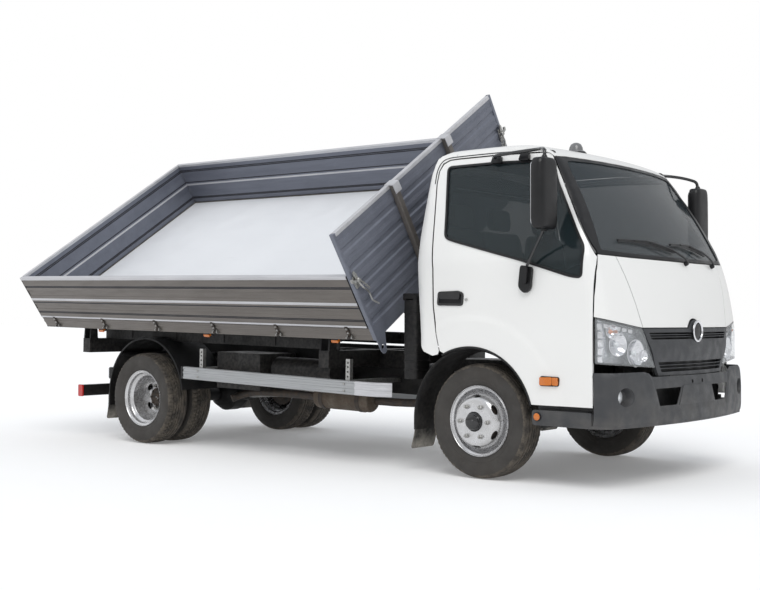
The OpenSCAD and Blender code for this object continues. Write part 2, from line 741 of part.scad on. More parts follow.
module cylinder_ram() {
    color(c_steel) on_cylinder(3) {
        low = barrel_low + 30;
        translate([0, 0, low]) cylinder(d = stage_ds[3], h = eye_z - trunnion_z - 24 - low);
        difference() {
            rod_x(-42, 42, 0, eye_z - trunnion_z, 62);
            rod_x(-43, 43, 0, eye_z - trunnion_z, 34);
        }
    }
}

// ---------- cab ----------
bow_x = 1100 - bow_r;
bow_strips = [-12, -6, 0, 6, 12];
side_y = cab_w / 2;
lean_z = 1450;
seam_x = 905;
corner_r = 120;
corner_x = 877;
front_line = [
    [1098, 480], [1104, 950], [1086, 1100], [1052, 1280], [1000, 1450], [905, 1650], [820, 1800],
    [705, 1975], [590, 2127], [500, 2178], [360, 2214], [150, 2238], [-100, 2246],
];
rear_line = [
    [-280, 2260], [-390, 2222], [-458, 2165], [-495, 2060], [-500, 1800], [-476, 1250],
    [-456, 900], [-456, 400],
];
function side_section(t) = let(half = [
    [side_y - t, 400], [side_y - t, lean_z], [785 - t, 2182 - t * 0.3], [748 - t * 0.8, 2218 - t * 0.8],
    [660 - t * 0.5, 2240 - t], [400, 2250 - t],
]) concat(half, [for (i = [len(half) - 1:-1:0]) [-half[i][0], half[i][1]]]);
// The cab's outer form, or with t the form inside its walls
module cab_form(t) {
    intersection() {
        // The bowed front, as flat strips tangent to the bow
        intersection_for (a = bow_strips) translate([bow_x, 0, 0]) rotate([0, 0, a]) translate([-bow_x, 0, 0])
            plate_y(-2500, 2500, concat(
                [[-1200, 400]], [for (p = front_line) [p[0] - t, p[1] - t * 0.5]], [[-1200, 2246 - t * 0.5]]
            ));
        plate_x(-700, 1200, side_section(t));
        plate_y(-1100, 1100, concat(
            [[1300, 400], [1300, 2300], [-250, 2300]], [for (p = rear_line) [p[0] + t, p[1] - t * 0.5]]
        ));
        translate([0, 0, 350]) linear_extrude(2000) polygon(concat(
            [[-700, -side_y + t]], arc([corner_x - t, t + corner_r - side_y], corner_r, -90, 0, 4),
            [[1300, t + corner_r - side_y], [1300, side_y - corner_r - t]],
            arc([corner_x - t, side_y - corner_r - t], corner_r, 0, 90, 4), [[-700, side_y - t]]
        ));
    }
}

// The door's outline, grown by g: straight edges, the wheel arch, and the leaning pillar
function door_line(g) = concat(
    [[seam_x - 5 + g, 516 - g], [seam_x - 5 + g, 1440], [848 + g, 1530],
        [597 + g, 1965 + g], [505 + g, 2126 + g]],
    [[455, 2148 + g], [100, 2172 + g], [-250, 2178 + g], [-352, 2176 + g], [-402 - g, 2150], [-418 - g, 2090]],
    [[-418 - g, 2000], [-380 - g, 1760], [-334 - g, 1460], [-330 - g, 1150], [-300 - g, 960], [-272 - g, 845]],
    arc([arch_x, arch_z], arch_r - g, acos((-272 - g - arch_x) / (arch_r - g)),
        asin((516 - g - arch_z) / (arch_r - g)), 12)
);
// The side window's outline, grown by g
function side_window(g) = [
    [-341 - g, 2085], [-315, 2118 + g], [94, 2114 + g], [500 + g, 2094 + g], [571 + g, 1952 + g],
    [833 + g, 1508], [812 + g, 1340 - g], [780, 1316 - g], [365, 1437 - g], [-174, 1579 - g],
    [-230 - g, 1600 - g], [-252 - g, 1650],
];
windscreen_half = [[0, 2112], [715, 2112], [782, 1800], [815, 1640], [842, 1486], [815, 1474], [0, 1460]];
function mirrored(half) = concat(half, [for (i = [len(half) - 1:-1:0]) [-half[i][0], half[i][1]]]);
function grown(half, g) = [for (p = half) [p[0] <= 0 ? 0 : p[0] + g, p[1] > 1800 ? p[1] + g : p[1] - g]];
rear_window_w = 1180;
rear_window_z = [1560, 1990];
lamp_line = [[639.6, 1002], [1010, 1078], [1010, 778], [486, 738]];
grille_half = [[0, 1004], [640, 1004], [466, 705], [0, 700]];
panel_top = 1480;
floor_low = 800;
floor_high = 985;
plate_t = 20;
floor_step_x = 250;
tunnel_w = 760;
module cab_shell() {
    color(c_paint) in_truck() {
        difference() {
            cab_form(0);
            cab_form(cab_wall);
            // Everything in front of the doors and below the windscreen is the front panel
            box([seam_x, -1100, 300], [1400, 1100, panel_top]);
            box([seam_x - 90, -780, 300], [seam_x + 1, 780, panel_top]);
            both_sides() side_band(-30, door_t + 0.6, door_line(door_gap));
            both_sides() plate_y(600, 1100, door_line(-24));
            plate_x(300, 1400, mirrored(grown(windscreen_half, 0.6)));
            box([-700, -rear_window_w / 2, rear_window_z[0]], [-300, rear_window_w / 2, rear_window_z[1]]);
            both_sides() rod_y(arch_x, arch_z, 500, 1100, 2 * arch_r);
            box([-700, -1100, 300], [1400, 1100, floor_low]);
            box([-700, -1100, 300], [-300, 1100, 890]);
        }
    }
}
module cab_floor() {
    color(c_black) in_truck() {
        difference() {
            union() {
                w = side_y - cab_wall - 0.6;
                box([floor_step_x, -w, floor_low], [seam_x - 105, w, floor_low + plate_t]);
                box([floor_step_x, -860, floor_low], [seam_x - 1, 860, floor_low + plate_t]);
                box([floor_step_x, -w, floor_low], [floor_step_x + plate_t, w, floor_high]);
                box([-397.5, -w, floor_high - plate_t], [floor_step_x + plate_t, w, floor_high]);
                box([floor_step_x, -tunnel_w / 2, floor_high - plate_t],
                    [seam_x - 1, tunnel_w / 2, floor_high]);
                for (y = [-tunnel_w / 2, tunnel_w / 2 - plate_t])
                    box([floor_step_x, y, floor_low], [seam_x - 1, y + plate_t, floor_high]);
            }
            box([floor_step_x - 1, plate_t - tunnel_w / 2, floor_low - 1],
                [seam_x, tunnel_w / 2 - plate_t, floor_high - plate_t]);
        }
        // Lugs of the tilting hinge, and the members that carry them under the floor
        both_sides() {
            difference() {
                plate_y(lug_y - lug_w / 2, lug_y + lug_w / 2, [
                    [cab_pivot_x - 150, floor_low + 1], [cab_pivot_x - 85, floor_low + 1],
                    [cab_pivot_x - 60, floor_low],
                    [cab_pivot_x + 24, cab_pivot_z + 22], [cab_pivot_x + 24, cab_pivot_z - 24],
                    [cab_pivot_x - 30, cab_pivot_z - 26],
                ]);
                rod_y(cab_pivot_x, cab_pivot_z, lug_y - lug_w, lug_y + lug_w, cab_pin_d + 0.1);
            }
        }
    }
}
module front_panel() {
    color(c_paint) in_truck() difference() {
        cab_form(0);
        cab_form(30);
        box([-800, -1100, 300], [seam_x + 0.3, 1100, 2400]);
        box([seam_x, -1100, panel_top - 0.3], [1400, 1100, 2400]);
        plate_x(300, 1400, mirrored(grown(windscreen_half, 0.6)));
        plate_x(800, 1400, mirrored([[0, 1004.7], [642, 1004.7], [1100, 1100], [1100, 300], [0, 300]]));
    }
}
module grille() {
    color(c_plastic) in_truck() difference() {
        intersection() {
            cab_form(0);
            plate_x(900, 1400, mirrored(grille_half));
        }
        cab_form(24);
        // Slots between the bars
        plate_x(900, 1400, mirrored([[0, 972], [560, 972], [520, 905], [0, 905]]));
        plate_x(900, 1400, mirrored([[0, 820], [455, 820], [430, 730], [0, 730]]));
    }
    // The bars, and the plain black panel behind them
    color(c_black) in_truck() {
        intersection() {
            cab_form(24.3);
            difference() {
                plate_x(900, 1400, mirrored([[0, 990], [560, 990], [460, 716], [0, 716]]));
                cab_form(34);
            }
        }
    }
}
module headlamps() {
    color(c_steel) in_truck() both_sides() difference() {
        intersection() {
            cab_form(0);
            plate_x(seam_x + 20, 1400, lamp_line);
        }
        cab_form(70);
    }
}
module windscreen() {
    color(c_glass) in_truck() difference() {
        intersection() {
            cab_form(6);
            plate_x(300, 1400, mirrored(windscreen_half));
        }
        cab_form(6 + glass_t);
    }
}
module rear_window() {
    color(c_glass) in_truck() difference() {
        intersection() {
            cab_form(8);
            box([-700, 0.4 - rear_window_w / 2, rear_window_z[0] + 0.4],
                [-300, rear_window_w / 2 - 0.4, rear_window_z[1] - 0.4]);
        }
        cab_form(8 + glass_t);
    }
}
dash_w = 1780;
dash_x = 640;
module dashboard() {
    color(c_plastic) in_truck() {
        plate_y(-dash_w / 2, dash_w / 2, [
            [860, floor_high + 0.3], [860, 1400], [840, 1440], [700, 1400], [600, 1340], [560, 1260],
            [590, 1170], [dash_x, 1150], [dash_x, floor_high + 0.3],
        ]);
    }
}
module seat(y, w) {
    box([-360, y - w / 2, floor_high + 0.3], [120, y + w / 2, floor_high + 150]);
    plate_y(y - w / 2, y + w / 2, [
        [-360, floor_high + 150.3], [-250, floor_high + 150.3], [-300, 1700], [-400, 1700], [-420, 1650],
    ]);
    plate_y(y - 130, y + 130, [[-320, 1700.3], [-330, 1880], [-400, 1880], [-400, 1700.3]]);
}
module seats() {
    color([0.45, 0.47, 0.45]) in_truck() {
        seat(450, 480);
        seat(-150, 480);
        seat(-620, 420);
    }
}
wheel_centre = [430, 430, 1290];
wheel_tilt = 40;
module steering_wheel() {
    color(c_black) in_truck() {
        translate(wheel_centre) rotate([0, -wheel_tilt, 0]) {
            rotate_extrude($fn = 64) translate([195, 0]) circle(d = 30, $fn = 24);
            cylinder(d = 120, h = 30, center = true);
            for (a = [0, 120, 240]) rotate([0, 0, a]) box([55, -14, -6], [185, 14, 6]);
        }
        // The column, up to the dashboard's face
        difference() {
            translate(wheel_centre) rotate([0, -wheel_tilt, 0])
                translate([0, 0, -400]) cylinder(d = 50, h = 390);
            box([dash_x - 0.4, 300, 900], [dash_x + 300, 560, 1300]);
        }
    }
}
lamp_place = [290, -150, 2226];
module roof_lamp() {
    color(c_steel) in_truck() difference() {
        translate(lamp_place) {
            translate([0, 0, -20]) cylinder(d = 120, h = 40);
            translate([0, 0, 19]) cylinder(d1 = 92, d2 = 50, h = 48);
        }
        cab_form(-0.3);
    }
}
wiper_ys = [60, 560];
module wipers() {
    color(c_black) in_truck() difference() {
        for (y = wiper_ys)
            translate([985 - y * y / (2 * bow_r), y, 1420]) rotate([0, 73, 0]) cylinder(d = 36, h = 46);
        cab_form(-0.3);
    }
}

// ---------- doors ----------
mirror_y = 1100;
mirror_x = 624;
mirror_z0 = 1620;
mirror_z1 = 2060;
// The left side wall between two depths below its outer face, within an outline
module side_band(t0, t1, outline) {
    intersection() {
        plate_x(-500, seam_x, [
            [side_y - t1, 500], [side_y - t0, 500], [side_y - t0, lean_z], [785 - t0, 2182],
            [785 - t1, 2182], [side_y - t1, lean_z],
        ]);
        plate_y(600, 1100, outline);
    }
}
module door(s) {
    color(c_paint) in_truck() on_side(s) difference() {
        union() {
            side_band(0, door_skin, door_line(0));
            side_band(door_skin - 1, door_t, door_line(-12));
        }
        plate_y(600, 1100, side_window(0));
    }
}
module door_glass(s) {
    color(c_glass) in_truck() on_side(s) side_band(20, 20 + glass_t, side_window(-0.4));
}
module mirror_arm(s) {
    color(c_black) in_truck() on_side(s) {
        box([mirror_x - 40, mirror_y - 95, mirror_z0], [mirror_x + 40, mirror_y + 95, mirror_z1]);
        bar([mirror_x, mirror_y, mirror_z1 - 1], [mirror_x, mirror_y - 10, 2140], 24);
        bar([mirror_x, mirror_y - 10, 2140], [280, 850, 2150], 24);
        bar([280, 850, 2150], [60, 835, 2140], 24);
        bar([mirror_x, mirror_y, mirror_z0 + 1], [420, side_y + 20, 1370], 24);
        box([385, side_y + 0.3, 1230], [455, side_y + 34, 1390]);
        for (x = [40, 260]) box([x, 807.1, 2105], [x + 60, 845, 2150]);
        for (p = [[mirror_x, mirror_y - 10, 2140], [280, 850, 2150], [60, 835, 2140]])
            translate(p) sphere(d = 34);
    }
}

// ---------- front bumper ----------
bumper_z = [389, 733];
bumper_front = 1132;
bumper_t = 14;
bumper_bow = 0.115e-3;
bumper_w = side_y + 5;
bumper_corner_r = 110;
// The bumper seen from above, inside its skin by t
function bumper_line(t) = concat(
    [[910, bumper_w - t]],
    arc([935 - t, bumper_w - bumper_corner_r - t], bumper_corner_r, 80, 10, 5),
    [for (i = [1:9]) let(y = (bumper_w - bumper_corner_r - 10) * (1 - i / 5))
        [bumper_front - t - y * y * bumper_bow, y]],
    arc([935 - t, bumper_corner_r + t - bumper_w], bumper_corner_r, -10, -80, 5),
    [[910, t - bumper_w]]
);
plate_hole_d = 7;
plate_hole_pitch = 130;
fog_y = 760;
module front_bumper() {
    color(c_plastic) in_truck() {
        difference() {
            translate([0, 0, bumper_z[0]]) linear_extrude(bumper_z[1] - bumper_z[0]) polygon(bumper_line(0));
            translate([0, 0, bumper_z[0] - 1]) linear_extrude(bumper_z[1] - bumper_z[0] + 2)
                polygon(concat([[909, bumper_w - bumper_t]], bumper_line(bumper_t),
                    [[909, bumper_t - bumper_w]]));
            // Air openings, fog lamps, number plate holes
            both_sides() plate_x(900, 1300, [[200, 500], [200, 640], [420, 640], [450, 500]]);
            both_sides() rod_x(900, 1300, fog_y, 560, 110);
            for (y = [-1, 1]) rod_x(900, 1300, y * plate_hole_pitch / 2, 655, plate_hole_d);
            // The middle of the top edge is lower
            plate_x(900, 1300, [[-640, 734], [-560, 700], [560, 700], [640, 734]]);
        }
        // Brackets to the frame's front end
        both_sides() box([frame_front + 12, rail_y - 55, 500], [1106, rail_y - 5, 600]);
    }
}

ladder_frame();
engine_block();
front_axle();
leaf_springs();
rear_axle();
drive_shaft();
fuel_tank();
battery_box();
muffler();
air_intake();
tipper_subframe();
side_guards();
rear_fenders();
underrun_bar();
tail_lamps();
front_mudguards();
cab_steps();
front_bumper();
knuckle(1);  // knuckle_left
knuckle(-1);  // knuckle_right
tyre_front(1);  // tyre_front_left
wheel_front(1);  // wheel_front_left
tyre_front(-1);  // tyre_front_right
wheel_front(-1);  // wheel_front_right
tyres_rear(1);  // tyres_rear_left
wheels_rear(1);  // wheels_rear_left
tyres_rear(-1);  // tyres_rear_right
wheels_rear(-1);  // wheels_rear_right
cab_shell();
cab_floor();
front_panel();
grille();
headlamps();
windscreen();
rear_window();
dashboard();
seats();
steering_wheel();
roof_lamp();
wipers();
door(1);  // door_left
door_glass(1);  // door_glass_left
mirror_arm(1);  // mirror_left
door(-1);  // door_right
door_glass(-1);  // door_glass_right
mirror_arm(-1);  // mirror_right
bed_frame();
bed_floor();
bed_edges();
front_board();
side_board(-1);  // side_board_right
side_board(1);  // side_board_left
tail_board();
cylinder_barrel();
cylinder_stage(1);  // cylinder_stage_1
cylinder_stage(2);  // cylinder_stage_2
cylinder_ram();
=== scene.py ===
import json
import math
import random

import bmesh
import bpy
from mathutils import Matrix, Vector

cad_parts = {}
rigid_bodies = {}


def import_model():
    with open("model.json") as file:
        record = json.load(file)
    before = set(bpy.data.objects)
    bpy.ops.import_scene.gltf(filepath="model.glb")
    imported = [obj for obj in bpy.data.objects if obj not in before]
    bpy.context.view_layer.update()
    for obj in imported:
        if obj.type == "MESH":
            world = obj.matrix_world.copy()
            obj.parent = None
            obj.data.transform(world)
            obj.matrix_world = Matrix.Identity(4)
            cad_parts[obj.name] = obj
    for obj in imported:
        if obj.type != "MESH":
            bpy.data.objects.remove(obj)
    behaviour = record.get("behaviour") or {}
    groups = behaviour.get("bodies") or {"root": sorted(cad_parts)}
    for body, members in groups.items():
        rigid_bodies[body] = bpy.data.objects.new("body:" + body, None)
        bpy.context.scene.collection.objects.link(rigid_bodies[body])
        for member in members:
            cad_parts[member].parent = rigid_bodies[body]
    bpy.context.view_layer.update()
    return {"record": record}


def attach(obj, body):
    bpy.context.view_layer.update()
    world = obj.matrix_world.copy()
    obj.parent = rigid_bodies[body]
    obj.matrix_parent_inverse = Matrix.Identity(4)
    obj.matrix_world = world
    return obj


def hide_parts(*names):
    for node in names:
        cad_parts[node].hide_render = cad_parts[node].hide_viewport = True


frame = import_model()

random.seed(7)
RAKE = math.radians(1.11)
TILT = math.radians(34)
ROW = Vector((1.8142, 0.1787, 0))


# ---------- frames: each turns a point of its own frame into the model's ----------
def truck(p):
    return Vector(p) + ROW


def raked(p):
    return Matrix.Rotation(RAKE, 3, "Y") @ Vector(p) + ROW


def on_bed(p):
    q = Matrix.Rotation(TILT, 3, "X") @ Vector((p[0], p[1] + 0.95, p[2] + 0.122))
    return raked(q + Vector((0, -0.95, 0.95)))


def side(s, place):
    return lambda p: place((p[0], s * p[1], p[2]))


# ---------- materials ----------
class Mat:
    def __init__(self, name, color, rough=0.5, metal=0.0, **more):
        self.m = bpy.data.materials.new(name)
        self.m.use_nodes = True
        self.n = self.m.node_tree.nodes
        self.l = self.m.node_tree.links
        self.b = self.n["Principled BSDF"]
        self.b.inputs["Base Color"].default_value = (*color, 1)
        self.b.inputs["Roughness"].default_value = rough
        self.b.inputs["Metallic"].default_value = metal
        for k, v in more.items():
            self.b.inputs[k.replace("_", " ")].default_value = v
        self.geo = self.n.new("ShaderNodeTexCoord")
        self.color = color

    def coord(self, scale):
        m = self.n.new("ShaderNodeMapping")
        m.inputs["Scale"].default_value = scale
        self.l.new(self.geo.outputs["Object"], m.inputs[0])
        return m.outputs[0]

    def noise(self, scale, detail=3, stretch=(1, 1, 1), lo=0.35, hi=0.65):
        t = self.n.new("ShaderNodeTexNoise")
        t.inputs["Scale"].default_value = scale
        t.inputs["Detail"].default_value = detail
        self.l.new(self.coord(stretch), t.inputs["Vector"])
        r = self.n.new("ShaderNodeMapRange")
        r.inputs["From Min"].default_value = lo
        r.inputs["From Max"].default_value = hi
        self.l.new(t.outputs[0], r.inputs[0])
        return r.outputs[0]

    def height(self, z0, z1):
        # 1 below z0 and 0 above z1
        s = self.n.new("ShaderNodeSeparateXYZ")
        self.l.new(self.geo.outputs["Object"], s.inputs[0])
        r = self.n.new("ShaderNodeMapRange")
        r.inputs["From Min"].default_value = z1
        r.inputs["From Max"].default_value = z0
        self.l.new(s.outputs[2], r.inputs[0])
        return r.outputs[0]

    def math(self, op, a, b):
        m = self.n.new("ShaderNodeMath")
        m.operation = op
        for i, v in enumerate((a, b)):
            if isinstance(v, (int, float)):
                m.inputs[i].default_value = v
            else:
                self.l.new(v, m.inputs[i])
        return m.outputs[0]

    def mix(self, fac, other, amount=1.0):
        # Mixes another colour over what the base colour is so far
        m = self.n.new("ShaderNodeMix")
        m.data_type = "RGBA"
        self.l.new(self.math("MULTIPLY", fac, amount), m.inputs[0])
        src = self.b.inputs["Base Color"]
        if src.is_linked:
            self.l.new(src.links[0].from_socket, m.inputs[6])
        else:
            m.inputs[6].default_value = src.default_value
        m.inputs[7].default_value = (*other, 1)
        self.l.new(m.outputs[2], src)
        return self

    def roughen(self, fac, lo, hi):
        r = self.n.new("ShaderNodeMapRange")
        r.inputs["To Min"].default_value = lo
        r.inputs["To Max"].default_value = hi
        self.l.new(fac, r.inputs[0])
        self.l.new(r.outputs[0], self.b.inputs["Roughness"])
        return self

    def bump(self, fac, strength=0.2, dist=0.001):
        b = self.n.new("ShaderNodeBump")
        b.inputs["Strength"].default_value = strength
        b.inputs["Distance"].default_value = dist
        self.l.new(fac, b.inputs["Height"])
        old = self.b.inputs["Normal"]
        if old.is_linked:
            self.l.new(old.links[0].from_socket, b.inputs["Normal"])
        self.l.new(b.outputs[0], old)
        return self

    def edges(self, other, amount=0.5):
        # Wear where the surface bends sharply
        p = self.n.new("ShaderNodeNewGeometry")
        r = self.n.new("ShaderNodeMapRange")
        r.inputs["From Min"].default_value = 0.52
        r.inputs["From Max"].default_value = 0.6
        self.l.new(p.outputs["Pointiness"], r.inputs[0])
        return self.mix(self.math("MULTIPLY", r.outputs[0], self.noise(40)), other, amount)


DUST = (0.30, 0.27, 0.23)
M = {}
w = Mat("white_paint", (0.80, 0.80, 0.785), 0.3, Coat_Weight=0.5, Coat_Roughness=0.05)
w.mix(w.noise(1.2, 2), (0.785, 0.785, 0.77), 0.5).mix(w.math("MULTIPLY", w.height(0.5, 0.95), w.noise(5, 5)),
    (0.70, 0.68, 0.64), 0.15)
w.roughen(w.noise(9, 4), 0.28, 0.34).bump(w.noise(160, 2), 0.006, 0.0002)
M["white"] = w.m
p = Mat("grey_plastic", (0.034, 0.036, 0.040), 0.5)
p.mix(p.noise(3, 3), (0.044, 0.046, 0.050), 0.6).mix(p.math("MULTIPLY", p.height(0.35, 0.75), p.noise(8, 5)),
    DUST, 0.16)
p.bump(p.noise(900, 3), 0.35, 0.0006).roughen(p.noise(12, 4), 0.42, 0.62).edges((0.10, 0.10, 0.105), 0.5)
M["plastic"] = p.m
k = Mat("black_paint", (0.006, 0.006, 0.007), 0.5, Specular_IOR_Level=0.25)
k.mix(k.noise(6, 6), (0.012, 0.012, 0.012), 0.8).mix(k.math("MULTIPLY", k.height(0.2, 0.8), k.noise(14, 6)),
    DUST, 0.035)
k.bump(k.noise(180, 4), 0.2, 0.0006).roughen(k.noise(10, 5), 0.34, 0.6).edges((0.06, 0.055, 0.05), 0.5)
M["black"] = k.m
k = Mat("gloss_black", (0.008, 0.008, 0.009), 0.16, Coat_Weight=0.5)
k.roughen(k.noise(20, 4), 0.12, 0.26).bump(k.noise(140, 2), 0.05, 0.0004)
M["trim"] = k.m
k = Mat("mirror_shell", (0.007, 0.007, 0.008), 0.36, Specular_IOR_Level=0.35)
k.bump(k.noise(700, 3), 0.25, 0.0004).roughen(k.noise(12, 4), 0.3, 0.46).mix(k.noise(7, 5),
    (0.013, 0.013, 0.014), 0.6)
M["shell"] = k.m
r = Mat("tyre_rubber", (0.040, 0.037, 0.034), 0.72)
r.mix(r.noise(4, 4), (0.052, 0.047, 0.042), 0.7).mix(r.noise(34, 6, lo=0.55, hi=0.8), (0.12, 0.105, 0.088),
    0.14)
r.bump(r.noise(420, 4), 0.3, 0.0008).roughen(r.noise(9, 5), 0.68, 0.9)
M["tyre"] = r.m
r = Mat("tread_rubber", (0.050, 0.044, 0.038), 0.85)
r.mix(r.noise(16, 8, lo=0.38, hi=0.62), (0.155, 0.132, 0.104), 0.6).mix(r.noise(90, 5, lo=0.5),
    (0.03, 0.027, 0.025), 0.5)
r.bump(r.noise(240, 6), 0.6, 0.0015)
M["tread"] = r.m
s = Mat("rim_silver", (0.62, 0.62, 0.63), 0.26, 0.8, Coat_Weight=0.3, Coat_Roughness=0.1)
s.mix(s.noise(10, 5), (0.50, 0.495, 0.49), 0.5).mix(s.noise(60, 6, lo=0.66, hi=0.85), (0.34, 0.32, 0.29),
    0.12)
s.bump(s.noise(120, 2), 0.02, 0.0002).roughen(s.noise(18, 5), 0.20, 0.34)
M["rim"] = s.m
s = Mat("zinc_steel", (0.46, 0.46, 0.45), 0.38, 0.9)
s.mix(s.noise(70, 5), (0.25, 0.24, 0.22), 0.6).bump(s.noise(240, 4), 0.2, 0.0005)
M["zinc"] = s.m
f = Mat("rubber_flap", (0.030, 0.029, 0.028), 0.8)
f.mix(f.math("MULTIPLY", f.height(0.20, 0.36), f.noise(9, 6)), (0.36, 0.34, 0.30), 0.9)
f.mix(f.noise(40, 6, lo=0.55), (0.16, 0.15, 0.13), 0.5).bump(f.noise(200, 4), 0.3, 0.001)
M["flap"] = f.m
s = Mat("chrome", (0.78, 0.78, 0.80), 0.08, 1.0)
s.roughen(s.noise(25, 4), 0.04, 0.16)
M["chrome"] = s.m
s = Mat("reflector", (0.58, 0.60, 0.63), 0.10, 1.0)
s.mix(s.noise(24, 3, (1, 1, 4)), (0.22, 0.23, 0.25), 0.6).bump(s.noise(26, 2, (1, 1, 5)), 0.7, 0.004)
M["reflector"] = s.m
s = Mat("dark_iron", (0.035, 0.032, 0.030), 0.55, 0.5)
s.mix(s.noise(30, 6), (0.09, 0.06, 0.04), 0.5).bump(s.noise(160, 5), 0.4, 0.001)
M["iron"] = s.m
s = Mat("rusty_steel", (0.085, 0.068, 0.052), 0.6, 0.5)
s.mix(s.noise(9, 7), (0.150, 0.130, 0.105), 0.8).mix(s.noise(50, 6), (0.07, 0.04, 0.025),
    0.5).bump(s.noise(120, 5), 0.4, 0.001)
M["rust"] = s.m


def board(name, color, dark):
    b = Mat(name, color, 0.42, 0.35)
    b.mix(b.noise(2.2, 5, (1, 4, 4)), dark, 0.55).mix(b.noise(26, 5, (0.12, 3, 3)), dark, 0.35)
    b.mix(b.noise(75, 6, lo=0.62, hi=0.8), (0.42, 0.41, 0.40), 0.15)
    b.roughen(b.noise(14, 5, (0.3, 2, 2)), 0.34, 0.52).bump(b.noise(130, 4, (0.15, 2, 2)), 0.10, 0.0005)
    return b.m


M["board_in"] = board("board_inside", (0.185, 0.198, 0.240), (0.140, 0.151, 0.186))
M["board_out"] = board("board_outside", (0.168, 0.152, 0.138), (0.125, 0.113, 0.103))
# The narrow groove floors get a dark copy of the board colour: painted shade in the grooves
M["groove_shade"] = board("board_groove", (0.050, 0.050, 0.060), (0.030, 0.030, 0.038))
M["edge_strip"] = board("bright_strip", (0.62, 0.62, 0.64), (0.46, 0.46, 0.48))
s = Mat("guard_alloy", (0.42, 0.43, 0.44), 0.46, 0.55)
s.mix(s.noise(30, 5, (0.1, 3, 3)), (0.33, 0.34, 0.345), 0.6).bump(s.noise(200, 4, (0.1, 3, 3)), 0.12, 0.0004)
M["guard"] = s.m
f = Mat("floor_paint", (0.77, 0.785, 0.81), 0.48)
f.mix(f.noise(1.3, 4), (0.73, 0.745, 0.77), 0.6).mix(f.noise(7, 7, (0.4, 2, 1), 0.6, 0.8),
    (0.62, 0.635, 0.655), 0.2)
f.bump(f.noise(60, 4), 0.06, 0.0008).roughen(f.noise(5, 5), 0.4, 0.6)
M["floor"] = f.m


def glassy(name, color, alpha):
    rough = 0.02
    g = Mat(name, color, rough, IOR=1.45)
    g.b.inputs["Alpha"].default_value = alpha
    g.roughen(g.noise(6, 4), rough, rough + 0.03)
    return g.m


M["glass"] = glassy("window_glass", (0.016, 0.026, 0.030), 0.60)
M["screen"] = glassy("windscreen_glass", (0.024, 0.036, 0.044), 0.52)
M["lens"] = glassy("lamp_lens", (0.75, 0.78, 0.80), 0.16)
bulb_mat = Mat("bulb_glass", (0.80, 0.82, 0.84), 0.12, 0.3, Coat_Weight=0.6)
bulb_mat.mix(bulb_mat.noise(90, 3), (0.60, 0.63, 0.66), 0.5)
bulb_mat.bump(bulb_mat.noise(160, 1, (1, 1, 0.3)), 0.4, 0.001)
M["bulb"] = bulb_mat.m
a = Mat("amber_lens", (0.62, 0.17, 0.012), 0.16, Coat_Weight=0.6)
a.mix(a.noise(140, 2), (0.42, 0.09, 0.005), 0.5).bump(a.noise(240, 1, (1, 1, 0.2)), 0.3, 0.0008)
M["amber"] = a.m
a = Mat("red_lens", (0.50, 0.012, 0.008), 0.2, Coat_Weight=0.6)
a.mix(a.noise(80, 2), (0.30, 0.006, 0.004), 0.5).bump(a.noise(200, 1), 0.2, 0.0006)
M["red"] = a.m
a = Mat("grey_dome", (0.17, 0.17, 0.175), 0.22, Coat_Weight=0.4)
a.mix(a.noise(12, 4), (0.11, 0.11, 0.112), 0.6).roughen(a.noise(20, 4), 0.18, 0.34)
M["dome"] = a.m
c = Mat("seat_cloth", (0.125, 0.135, 0.115), 0.9, Sheen_Weight=0.3)
c.mix(c.noise(500, 2, (1, 0.3, 1)), (0.20, 0.215, 0.185), 0.7).bump(c.noise(700, 2, (1, 0.3, 1)), 0.5, 0.0008)
M["cloth"] = c.m
c = Mat("dash_plastic", (0.060, 0.064, 0.062), 0.6)
c.mix(c.noise(5, 4), (0.085, 0.09, 0.086), 0.6).bump(c.noise(600, 3), 0.3, 0.0006)
M["dash"] = c.m


# ---------- mesh builders ----------
def join(*parts):
    bm = bmesh.new()
    for b in parts:
        me = bpy.data.meshes.new("t")
        b.to_mesh(me)
        bm.from_mesh(me)
        bpy.data.meshes.remove(me)
        b.free()
    return bm


def prism(points, a, b, axis="y"):
    # A closed outline in the two other axes, drawn from a to b along axis
    def at(p, h):
        return {"x": (h, p[0], p[1]), "y": (p[0], h, p[1]), "z": (p[0], p[1], h)}[axis]
    bm = bmesh.new()
    lo = [bm.verts.new(at(p, a)) for p in points]
    hi = [bm.verts.new(at(p, b)) for p in points]
    bm.faces.new(lo)
    bm.faces.new(hi[::-1])
    for i in range(len(points)):
        j = (i + 1) % len(points)
        bm.faces.new((lo[i], hi[i], hi[j], lo[j]))
    bmesh.ops.recalc_face_normals(bm, faces=bm.faces)
    return bm


def box(a, b):
    return prism([(a[0], a[1]), (b[0], a[1]), (b[0], b[1]), (a[0], b[1])], a[2], b[2], "z")


def rounded(points, r, n=5):
    # Rounds each corner of a closed outline
    out = []
    for i, p in enumerate(points):
        p, a, b = Vector(p), Vector(points[i - 1]), Vector(points[(i + 1) % len(points)])
        u, v = (a - p), (b - p)
        d = min(r, u.length * 0.45, v.length * 0.45)
        u, v = p + u.normalized() * d, p + v.normalized() * d
        for k in range(n + 1):
            t = k / n
            out.append(tuple((1 - t) ** 2 * u + 2 * t * (1 - t) * p + t * t * v))
    return out


